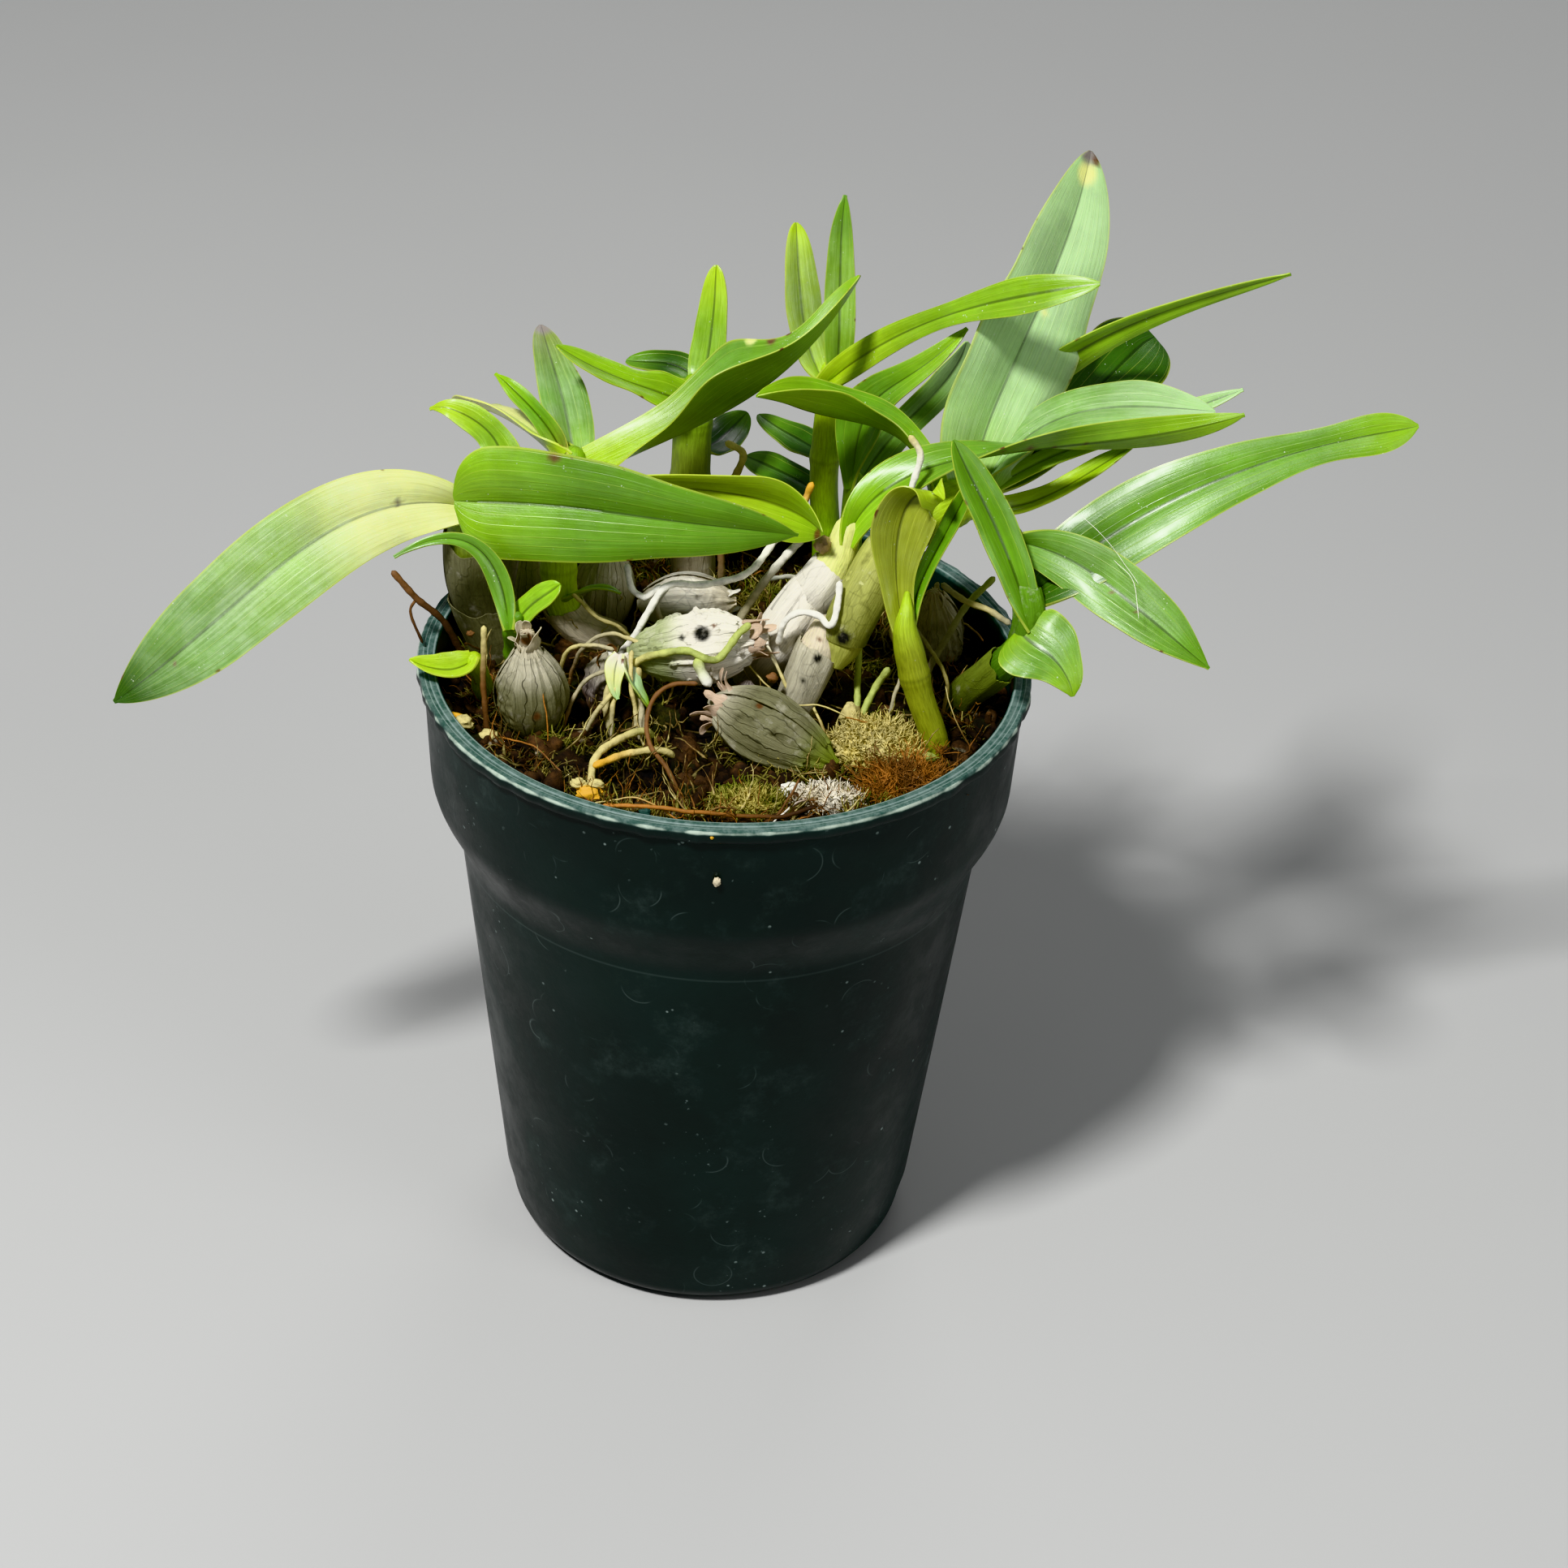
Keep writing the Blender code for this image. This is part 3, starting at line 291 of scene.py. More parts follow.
BULBS = {
    "papery_bulb_front": Bulb((-31, -12, 102), (-32, -11, 122), 5.5, 0.42, 1.3,
                              "paper_dark paper_dark paper_dark paper_grey paper_beige", 6,
                              crumple=1.5, spots=(Spot((-32, -12, 121), 1.2, "brown"),
                                                  Spot((-30, -16, 110), 1.0, "brown"))),
    "papery_bulb_lying": Bulb((-2, -13, 112), (19, -22, 106), 5.6, 0.45, 0.7,
                              "paper_grey paper_dark paper_dark moss_green", 11, "blush", 1.8,
                              spots=(Spot((6, -18, 114), 0.6, "brown"),), foot_up=True),
    "papery_bulb_torn": Bulb((-16, -5, 115), (7, -5, 119), 5.7, 0.52, 0.7,
                             "skin_green skin_green paper_white paper_white paper_white", 14,
                             "blush", 3.2, 0.6, (Spot((-4, -9, 122), 1.5, "black"),
                                                 Spot((-7, -9, 121), 0.6, "black"),
                                                 Spot((-2, -8, 123), 0.5, "brown"))),
    "papery_bulb_behind": Bulb((-16, 22, 108), (1, 23, 109), 4.8, 0.50, 0.6,
                               "paper_grey paper_white paper_beige", 4, "paper_white", veins=0.4),
    "papery_bulb_shaded": Bulb((-22, 25, 100), (-21, 23, 121), 4.8, 0.45, 1.0,
                               "paper_dark paper_grey paper_grey", 3),
    "papery_bulb_back_left": Bulb((-37, 25, 100), (-35, 22, 122), 4.2, 0.45, 1.0,
                                  "paper_dark paper_grey paper_beige", 3, "paper_white"),
    "papery_bulb_right": Bulb((37, 19, 100), (34, 8, 122), 4.0, 0.45, 0.8,
                              "paper_grey paper_grey paper_beige", 3),
    "dark_bulb_left": Bulb((-21, -4, 101), (-19, -5, 115), 2.6, 0.6, 0.7,
                           "brown grey paper_grey", 2, "dry"),
    "dark_bulb_middle": Bulb((2, -9, 101), (4, -7, 112), 3.2, 0.6, 0.7, "black brown grey", 0),
}
SEAMS = 9
SEAM_WIDTH = 0.07

# Roots and dry pieces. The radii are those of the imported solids, and the real roots are slimmer.
ROOT_SLIMNESS = 0.70
ROOTS = {
    "white_root_long": [
        Route([(13, 14, 138), (11, 13, 133), (7, 9, 129), (3, 4, 126), (-4, 3, 124), (-10, 2, 124),
               (-13, 0, 120), (-15, -1, 116), (-18, 0, 110), (-19, 2, 101)],
              0.85, "gold white white white grey_root"),
        Route([(-17, 5, 126), (-16, 4, 122), (-14, 3, 121), (-13, 2, 122), (-11, 2, 124)],
              0.8, "white white"),
    ],
    "white_root_upright": [
        Route([(28, 4, 153), (30, 3, 150), (29, 2, 145), (28, 1, 141), (28, 0, 136)],
              0.8, "straw_root white white white"),
    ],
    "white_root_on_sheath": [
        Route([(18, -4, 130), (18, -6, 128), (17.5, -8, 125), (16.5, -8, 124), (15, -7, 125),
               (12, -6, 125), (9.5, -6, 123), (8.5, -5, 118)], 0.8, "white white white"),
    ],
    "white_root_thick": [
        Route([(12, 8, 131), (9, 8, 127), (6, 7, 123), (3, 6, 118), (0, 5, 111), (-2, 5, 102)],
              1.0, "white grey_root green_root"),
    ],
    "root_cluster_front": [
        Route([(4, -7, 123), (2, -9, 122), (0.5, -11, 120.5), (-1, -12, 119), (-3, -12, 119),
               (-6, -11.5, 120), (-10, -11, 119), (-14, -9, 116), (-18, -9, 112),
               (-19, -11, 108), (-17, -13, 101)],
              0.9, "green_root green_root straw_root grey_root"),
        Route([(-14, -9, 115), (-14, -10, 111), (-13, -13, 107), (-13, -15, 101)],
              1.0, "straw_root grey_root grey_root"),
        Route([(-4.5, -12, 119), (-3.5, -13, 117), (-2, -14, 115)], 1.3, "green_root white"),
    ],
    "root_fork_front": [
        Route([(-20, -30, 101), (-20, -26, 107), (-17, -21, 108), (-12, -16, 107), (-10, -14, 101)],
              0.9, "straw_root straw_root green_root"),
        Route([(-20, -27, 107), (-15, -23, 107), (-9, -20, 106), (-5, -18, 101)],
              0.85, "gold straw_root straw_root"),
    ],
    "root_pair_right": [
        Route([(27, -4, 114), (25, -4, 110), (23, -8, 107), (22, -9, 100)],
              0.85, "green_root green_root grey_root"),
        Route([(22, 2, 116), (22, -2, 110), (22, -7, 107), (21, -9, 100)],
              0.8, "green_root green_root grey_root"),
    ],
    "root_crossing_back": [
        Route([(44, 10, 124), (40, 8, 120), (37, 6, 115), (34, 4, 109), (33, 3, 101)],
              0.8, "green_root grey_root grey_root"),
        Route([(35, 7, 124), (39, 7, 121), (43, 6, 120), (47, 5, 118)],
              0.75, "grey_root straw_root grey_root"),
    ],
    "root_curl_back": [
        Route([(-2, 30, 136), (1, 30, 134), (0, 30, 130), (-3, 29, 125), (-2, 28, 114),
               (-2, 28, 101)], 0.9, "straw_root dry grey_root"),
    ],
    "dark_twig": [
        Route([(-55, -1, 126), (-51, -1, 121), (-46, 0, 115), (-41, 1, 101)], 0.8, "dry bark bark"),
        Route([(-51, -1, 121), (-52, -1, 118), (-50, -2, 113)], 0.35, "dry bark"),
    ],
    "pale_stick": [
        Route([(-39, -10, 122), (-39, -12, 112), (-38, -14, 101)], 0.7, "straw_root dry bark"),
    ],
    "brown_fibre": [
        Route([(-4, -15, 116), (-8, -14, 115), (-11, -15, 113), (-12, -18, 110), (-11, -22, 108),
               (-8, -27, 107), (-5, -34, 105), (-4, -36, 101)], 0.55, "dry dry bark"),
    ],
}

# Fine roots that only show here, most of them round the front cluster and between the bulbs
FINE_ROOTS = [
    Route([(-19, -8, 118), (-17, -11, 113), (-18, -13, 109), (-18, -14, 104)], 0.6,
          "white straw_root grey_root"),
    Route([(-15, -9, 118), (-15, -12, 113), (-14, -13, 109), (-14, -14, 104)], 0.55,
          "straw_root straw_root grey_root"),
    Route([(-16, -8, 114), (-21, -9, 113), (-24, -10, 110), (-26, -12, 104)], 0.5,
          "grey_root grey_root dry"),
    Route([(-17, -12, 113), (-21, -14, 108), (-23, -14, 103)], 0.6, "straw_root grey_root"),
    Route([(-18, -9, 118), (-22, -8, 118), (-26, -6, 115), (-28, -5, 106)], 0.5,
          "grey_root straw_root dry"),
    Route([(-12, -7, 117), (-16, -5, 118), (-20, -3, 117), (-24, -2, 113), (-26, 0, 105)], 0.5,
          "straw_root grey_root dry"),
    Route([(4, -3, 121), (7, -6, 118), (10, -9, 113), (12, -11, 107), (13, -12, 103)], 0.4,
          "white straw_root grey_root"),
    Route([(-10, 6, 122), (-12, 8, 116), (-10, 9, 109), (-11, 10, 103)], 0.7,
          "white grey_root grey_root"),
    Route([(-4, 12, 112), (0, 9, 114), (4, 9, 113), (6, 11, 107), (7, 12, 103)], 0.55,
          "white grey_root dry"),
    Route([(-26, 8, 118), (-22, 6, 115), (-18, 6, 113), (-15, 8, 108), (-14, 9, 103)], 0.5,
          "straw_root straw_root grey_root"),
    Route([(27, 2, 118), (29, -2, 113), (28, -5, 108), (27, -6, 103)], 0.5,
          "straw_root grey_root grey_root"),
    Route([(31, 6, 116), (35, 1, 113), (37, -2, 109), (36, -4, 103)], 0.45,
          "grey_root straw_root dry"),
    Route([(12, -3, 111), (15, -10, 109), (17, -12, 106), (17, -13, 103)], 0.35,
          "grey_root straw_root dry"),
    Route([(-30, 18, 112), (-26, 22, 111), (-25, 27, 107), (-26, 30, 103)], 0.6,
          "white grey_root grey_root"),
    Route([(6, 24, 113), (11, 27, 112), (14, 30, 108), (13, 33, 103)], 0.6,
          "white grey_root grey_root"),
    Route([(28, 30, 114), (31, 33, 112), (33, 33, 107), (33, 34, 103)], 0.6,
          "green_root grey_root dry"),
]

# Straws and hair-thin fibres
STRAWS = [
    Route([(3, -4, 114), (9, -8, 110), (16, -11, 106)], 0.22, "straw_root dry"),
    Route([(-2, -6, 113), (3, -10, 108), (6, -12, 105)], 0.18, "straw_root dry"),
    Route([(10, -11, 110), (16, -12, 111), (21, -12, 109)], 0.2, "straw_root straw_root"),
    Route([(-18, -38, 107), (-10, -39, 108), (-1, -40, 108), (10, -40, 108), (16, -38, 109)], 0.5,
          "coir bark"),
    Route([(-20, -36, 106), (-12, -37, 108), (-5, -40, 106)], 0.18, "straw_root coir"),
    Route([(5, -42, 105), (10, -38, 107), (13, -35, 112)], 0.3, "bark dry"),
    Route([(9, -39, 106), (13, -36, 108), (16, -35, 108)], 0.25, "white dry"),
    Route([(-28, -19, 104), (-28, -18, 109), (-29, -17, 114)], 0.16, "coir coir"),
    Route([(36, -12, 116), (38, -14, 111), (41, -15, 106)], 0.15, "straw_root dry"),
    Route([(20, -18, 113), (26, -14, 109), (33, -11, 106)], 0.16, "coir dry"),
    Route([(-36, -17, 105), (-30, -22, 107), (-25, -26, 105)], 0.2, "coir dry"),
    Route([(-44, 8, 104), (-41, 3, 109), (-43, -3, 114)], 0.25, "bark dry"),
    Route([(38, 22, 105), (40, 16, 111), (43, 9, 112)], 0.22, "straw_root dry"),
    Route([(-10, 40, 105), (-3, 42, 109), (6, 41, 106)], 0.2, "straw_root dry"),
]

# A tuft of hair roots at the foot of the front stem, and long hairs on the leaves
HAIR_STAR = (36, -17, 106)
LEAF_HAIRS = [
    Route([(62, -3, 136), (65, -8, 135), (66, -13, 131)], 0.07, "white white"),
    Route([(56, 1, 142), (61, -3, 139), (66, -7, 134)], 0.06, "white white"),
]

# Tufts: centre, half sizes, finish, strands on each square millimetre
TUFTS = {
    "moss_mound": ((25, -16, 105), (7, 6, 4.5), "sponge", 4.0),
    "pale_moss": ((18, -31, 105), (5.5, 3.5, 2.3), "lichen", 5.0),
    "green_moss": ((5, -33, 105), (5, 4, 2.0), "moss", 7.0),
    "coir_tuft": ((30, -26, 105), (6, 3.8, 2.3), "coir", 5.0),
}
MOSS_STRANDS = {"Thickness": 0.0002, "Curl": 0.0009, "Lean": 0.9, "Joints": 4}
COIR_STRANDS = {"Thickness": 0.00013, "Curl": 0.0022, "Lean": 1.4, "Joints": 6}

# Strands of a tuft by its finish: length, as a share of a moss strand's, and form
TUFT_STRANDS = {"sponge": (0.6, MOSS_STRANDS), "lichen": (0.35, MOSS_STRANDS),
                "moss": (0.6, MOSS_STRANDS), "coir": (1.5, COIR_STRANDS)}

# Crumbs: centre, half sizes, colour. The last one sticks to the wall of the pot.
CRUMBS = [
    ((-44, -15, 107), (2.4, 1.0, 0.9), "gold"),
    ((-42, -16, 107), (1.7, 1.2, 1.2), "straw_root"),
    ((-20, -33, 106), (2.2, 1.3, 1.1), "gold"),
    ((-22, -32, 107), (1.3, 1.0, 0.8), "straw_root"),
    ((-19, -32, 107), (1.2, 0.9, 0.7), "straw_root"),
    ((-38, -15, 104), (1.6, 1.3, 1.0), "straw_root"),
    # The nub on the lip takes the lip's painted highlight colour
    ((-10.6, -46.4, 111.9), (0.9, 0.5, 0.7), "lip_highlight_teal"),
    ((0, -50.9, 111), (0.3, 0.25, 0.3), "gold"),
    ((-42, -3, 116), (0.6, 0.5, 0.5), "dry"),
    ((8, -12, 116), (0.9, 0.8, 0.7), "dry"),
    ((21, -10, 108), (1.8, 1.5, 2.2), "straw_root"),
    ((12, -28, 105), (2.0, 1.5, 1.2), "white"),
    ((33, -18, 106), (2.6, 1.0, 0.8), "green_root"),
    ((15, 4, 132), (1.3, 1.1, 1.6), "blush"),
    ((-14, -5, 112), (1.8, 1.5, 1.8), "straw_root"),
    ((1, -50, 102), (0.6, 0.45, 0.85), "paper_beige"),
]

# Driving sizes of the pot and the mix. Nearer its axis than EVEN_MIDDLE the pot is left plain.
RIM_RADIUS = 51.0
POT_HEIGHT = 112.0
BASE_RADIUS = 35.0
WALL = 1.4
LIP_WIDTH = 3.2
COLLAR_HEIGHT = 20.0
STEP_HEIGHT = 14.0
FLOOR = 2.0
DRAIN_HOLES = 6
DRAIN_RADIUS = 4.0
DRAIN_RING = 24.0
COLLAR_INSET = 1.2
SHOULDER_INSET = 2.0
BODY_INSET = 7.0
BASE_ROUNDING = 4.5
MIX_TOP = 105.0
EVEN_MIDDLE = 5.0
WALL_GAP = 0.5
SEAT_GAP = 0.3

# Painted highlights on fine raised lines of the lip, as radius, half width and how pale each is,
# and a mould line
LIP_LINE_HIGHLIGHTS = ((48.2, 0.25, 0.5), (49.2, 0.18, 0.35), (49.9, 0.14, 0.4))
MOULD_LINE = POT_HEIGHT - COLLAR_HEIGHT - STEP_HEIGHT

# Camera, as the photograph was taken
CAMERA_PLACE = (10.7, -497.1, 423.1)
CAMERA_TARGET = (10.7, 0.0, 87.2)
CAMERA_ROLL = 2.825
CAMERA_LENS = 81.2
CAMERA_SENSOR = 36.0

# Lamps: name, place and size in metres, power in watts
LAMPS = (
    ("key_lamp", (-0.34, -0.50, 1.05), 0.16, 17.0),
    ("fill_lamp", (0.9, -0.6, 0.7), 0.6, 2.6),
    ("back_lamp", (0.2, 0.9, 0.8), 0.6, 2.0),
)
LAMP_TARGET = (0.0, 0.0, 0.12)
SKY_COLOUR = (0.92, 0.96, 1.0, 1.0)
SKY_STRENGTH = 0.19
FLOOR_WIDTH = 12.0

# Colours of dust and wear
LEAF_DUST = (0.62, 0.68, 0.55)
STEM_DUST = (0.55, 0.55, 0.42)
CHALK = (0.60, 0.70, 0.58)
FLOOR_GREY = (0.46, 0.46, 0.46)

# How far red, green and blue light reach into a living skin and a dry one, beside each other
SAP_DEPTHS = (0.6, 1.0, 0.2)
PAPER_DEPTHS = (1.0, 0.8, 0.5)

# Fuzzy finishes: material, two tones, and how bright the dark strands are
FUZZ = {
    "moss": ("live_moss", "moss_green", "moss_gold", 0.3),
    "sponge": ("gold_moss", "moss_gold", "straw_root", 0.45),
    "lichen": ("white_moss", "paper_beige", "paper_white", 0.5),
    "litter": ("dry_litter", "dry", "straw_root", 0.35),
    "coir": ("rusty_coir", "coir", "dry", 0.5),
}

# Fineness of the meshes: rows and columns, points round a tube, and the pot's widest step
COLLAR_GRID = (26, 60)
BULB_GRID = (64, 96)
HUSK_GRID = (36, 44)
SHRED_GRID = (14, 5)
DOME_GRID = (40, 64)
LUMP_GRID = (16, 22)
BED_GRID = (84, 220)
STALK_SIDES = 36
POT_SIDES = 288
POT_STEP = 5.0

# Thickness of the dry skins, and the radius of the hole that a cap closes in the mix
COLLAR_SKIN = 0.14
HUSK_SKIN = 0.13
SHRED_SKIN = 0.12
MIX_AXIS = 0.3

# A little over one turn, for directions drawn at random
ANY_TURN = 6.3


# Properties


def tone(label, note, colour):
    """A colour that a user would change."""
    return FloatVectorProperty(name=label, description=note, default=colour, size=3,
                               min=0.0, max=1.0, subtype="COLOR")


class OrchidPalette(bpy.types.PropertyGroup):
    deep: tone("Deep green", "Shaded and older leaves", (0.028, 0.090, 0.006))
    mid: tone("Leaf green", "Main leaf colour", (0.120, 0.280, 0.018))
    fresh: tone("Fresh green", "Younger leaves", (0.220, 0.415, 0.016))
    lime: tone("Lime green", "Youngest leaves and sheaths", (0.40, 0.59, 0.026))
    straw: tone("Straw yellow", "Pale feet of leaves", (0.80, 0.83, 0.28))
    silver: tone("Silver green", "Leaves with a waxy bloom", (0.37, 0.58, 0.24))
    olive: tone("Olive", "Old canes", (0.16, 0.21, 0.03))
    cane: tone("Young cane", "Stem and leaf in half light", (0.25, 0.29, 0.025))
    dull_straw: tone("Dull straw", "Old yellowed cane", (0.44, 0.46, 0.12))
    skin_green: tone("Green skin", "Bulb that shows through its skin", (0.36, 0.40, 0.20))
    rim: tone("Leaf rim", "Pale edge round a blade", (0.52, 0.58, 0.10))
    # The waxy film's colour, which is also mixed in as a painted sheen on the leaves
    bloom: tone("Bloom", "Waxy grey film on leaves", (0.60, 0.74, 0.50))
    paper_white: tone("White paper", "Driest, palest skins", (0.88, 0.83, 0.70))
    paper_beige: tone("Beige paper", "Dry sheaths", (0.66, 0.58, 0.41))
    paper_dark: tone("Dark paper", "Damp old skins", (0.17, 0.165, 0.09))
    paper_grey: tone("Grey paper", "Old skins", (0.46, 0.43, 0.31))
    brown: tone("Brown", "Nicks and dead edges", (0.13, 0.055, 0.02))
    blush: tone("Blush", "Pinkish scars", (0.62, 0.46, 0.33))
    black: tone("Black", "Dark spots", (0.012, 0.012, 0.01))
    grey: tone("Grey brown", "Dead leaf tips", (0.22, 0.19, 0.17))
    white: tone("Root white", "Dry live roots", (0.93, 0.91, 0.80))
    grey_root: tone("Root grey", "Older roots", (0.42, 0.38, 0.24))
    green_root: tone("Root green", "Live root skin in the light", (0.40, 0.46, 0.13))
    straw_root: tone("Root straw", "Yellowed roots", (0.60, 0.52, 0.22))
    gold: tone("Gold", "Root tips and bright crumbs", (0.75, 0.42, 0.05))
    dry: tone("Dry brown", "Dry fibres", (0.19, 0.095, 0.04))
    bark: tone("Bark", "Dark bark and twigs", (0.040, 0.020, 0.010))
    coir: tone("Coir", "Rusty fibres", (0.46, 0.20, 0.05))
    moss_green: tone("Moss green", "Live moss", (0.17, 0.22, 0.025))
    moss_gold: tone("Moss gold", "Drying moss", (0.62, 0.52, 0.17))
    pot_green: tone("Pot green", "Dark pot plastic", (0.0035, 0.0090, 0.0075))
    # The lighter teal of the lip's top is a painted highlight
    lip_highlight_teal: tone("Lip teal", "Worn lip of the pot", (0.034, 0.079, 0.064))
    # Pale wear, also used for the painted highlights on the lip's lines
    scuff_and_highlight: tone("Scuff", "Pale wear on the pot", (0.40, 0.50, 0.47))
    floor: tone("Floor", "Pale floor", (0.46, 0.46, 0.45))


class OrchidSizes(bpy.types.PropertyGroup):
    blade: FloatProperty(name="Blade thickness", description="Thickness of a leaf at its middle",
                         default=0.00055, min=0.0002, max=0.001, unit="LENGTH")
    vein_gap: FloatProperty(name="Vein gap", description="Space between two leaf veins",
                            default=0.0016, min=0.0005, max=0.003, unit="LENGTH")
    root_wobble: FloatProperty(name="Root wobble", description="How far a root wanders",
                               default=0.0003, min=0.0, max=0.002, unit="LENGTH")
    strand_length: FloatProperty(name="Moss strand", description="Length of a moss strand",
                                 default=0.0030, min=0.0005, max=0.01, unit="LENGTH")
    crumb_size: FloatProperty(name="Bark crumb", description="Width of the larger bark crumbs",
                              default=0.0034, min=0.001, max=0.01, unit="LENGTH")
    seed: IntProperty(name="Seed", description="Seed of everything that is scattered",
                      default=7, min=0, max=9999)


def palette(name):
    """A colour of the palette."""
    return tuple(getattr(bpy.context.scene.orchid_palette, name))


def sizes():
    """The sizes that a user would change."""
    return bpy.context.scene.orchid_sizes


def node_slot(node):
    """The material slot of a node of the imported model."""
    return next(part["material_slot"] for part in frame["record"]["subparts"]
                if part["node"] == node)


# Node building


def put(tree, kind, inputs=(), **settings):
    """Adds a node, sets or links its inputs, and gives its outputs."""
    made = tree.nodes.new(kind)
    for key, value in settings.items():
        setattr(made, key, value)
    for key, value in dict(inputs).items():
        if isinstance(value, bpy.types.NodeSocket):
            tree.links.new(value, made.inputs[key])
        else:
            made.inputs[key].default_value = value
    return made.outputs


def scaled(tree, vector, factor):
    """The vector or colour times the factor."""
    return put(tree, "ShaderNodeVectorMath", {0: vector, "Scale": factor}, operation="SCALE")[0]


# Finishes


class Finish:
    """A procedural material being wired up round one Principled shader."""

    def __init__(self, name, roughness, specular=0.5):
        self.made = bpy.data.materials.new(name)
        self.made.use_nodes = True
        self.tree = self.made.node_tree
        self.shader = self.tree.nodes["Principled BSDF"]
        self.give({"Roughness": roughness, "Specular IOR Level": specular})
        self.place = put(self.tree, "ShaderNodeTexCoord")["Object"]

    def give(self, values):
        """Sets inputs of the shader."""
        for key, value in values.items():
            self.shader.inputs[key].default_value = value

    def soften(self, weight, radius, scale):
        """Lets light a little way into the skin."""
        self.give({"Subsurface Weight": weight, "Subsurface Radius": radius,
                   "Subsurface Scale": scale})

    def attribute(self, name, output="Color"):
        """An attribute of the mesh."""
        return put(self.tree, "ShaderNodeAttribute", attribute_name=name)[output]

    def maths(self, operation, a, b=0.0):
        return put(self.tree, "ShaderNodeMath", {0: a, 1: b}, operation=operation)[0]

    def times(self, a, b):
        return self.maths("MULTIPLY", a, b)

    def plus(self, a, b):
        return self.maths("ADD", a, b)

    def away(self, value, place):
        """How far the value is from the place."""
        return self.maths("ABSOLUTE", self.maths("SUBTRACT", value, place))

    def apart(self, vector):
        """The three parts of a vector."""
        return put(self.tree, "ShaderNodeSeparateXYZ", {0: vector})

    def together(self, x, y, z=0.0):
        """A vector of three values."""
        return put(self.tree, "ShaderNodeCombineXYZ", {0: x, 1: y, 2: z})[0]

    def grain(self, scale, detail=3.0, rough=0.5, at=None):
        """A noise, 0 to 1, over the object or at another place."""
        where = self.place if at is None else at
        return put(self.tree, "ShaderNodeTexNoise", {"Vector": where, "Scale": scale,
                                                     "Detail": detail, "Roughness": rough})[0]

    def cells(self, scale, feature="F1"):
        """The distance from the middle or the edge of a cell."""
        return put(self.tree, "ShaderNodeTexVoronoi", {"Vector": self.place, "Scale": scale},
                   feature=feature)["Distance"]

    def band(self, value, low, high, out_low=0.0, out_high=1.0):
        """Smooth step of the value from low to high."""
        return put(self.tree, "ShaderNodeMapRange",
                   {"Value": value, "From Min": low, "From Max": high, "To Min": out_low,
                    "To Max": out_high}, interpolation_type="SMOOTHSTEP")[0]

    def mix(self, factor, low, high):
        """The low colour where the factor is 0, the high one where it is 1."""
        sides = [(*side, 1.0) if isinstance(side, tuple) else side for side in (low, high)]
        return put(self.tree, "ShaderNodeMix", {0: factor, 6: sides[0], 7: sides[1]},
                   data_type="RGBA")[2]

    def scaled(self, colour, factor):
        return scaled(self.tree, colour, factor)

    def shaded(self, colour, value, least, most, low=0.25, high=0.75):
        """The colour times least where the value is low, and times most where it is high."""
        return self.scaled(colour, self.band(value, low, high, least, most))

    def laid(self, colour, mask, share, over):
        """The colour with this share of another one over it, where the mask is 1."""
        return self.mix(self.times(mask, share), colour, over)

    def darkened(self, colour, factor, depth):
        """The colour, that many times as bright where the factor is 1."""
        return self.mix(factor, colour, self.scaled(colour, depth))

    def hollow_shade(self, colour, low, high, least):
        """Painted shade in the hollows: the colour, darker the lower the place is, from the low
        level to the high one.
        """
        level = self.maths("DIVIDE", self.apart(self.place)[2], MM)
        return self.shaded(colour, level, least, 1.0, low, high)

    def veins(self, place, width, seed):
        """Thin lines at each whole step of the place, and a value that varies between them."""
        line = self.band(self.away(self.maths("FRACT", place), 0.5), width, 0.0)
        return line, self.grain(0.9, 0.0, 0.5, self.together(self.maths("FLOOR", place), 0.0, seed))

    def specks(self, fineness, edge, patches, where):
        """Small dots, only where the noise of the patches is high."""
        return self.times(self.band(self.cells(fineness), *edge), self.band(patches, *where))

    def done(self, colour, roughness, height=None, strength=0.0, distance=0.0):
        """Links what was worked out. The height gives a bump of this strength and distance."""
        links = self.tree.links
        links.new(colour, self.shader.inputs["Base Color"])
        links.new(roughness, self.shader.inputs["Roughness"])
        if height is not None:
            bump = put(self.tree, "ShaderNodeBump", {"Height": height, "Strength": strength,
                                                     "Distance": distance})[0]
            links.new(bump, self.shader.inputs["Normal"])
        return self.made


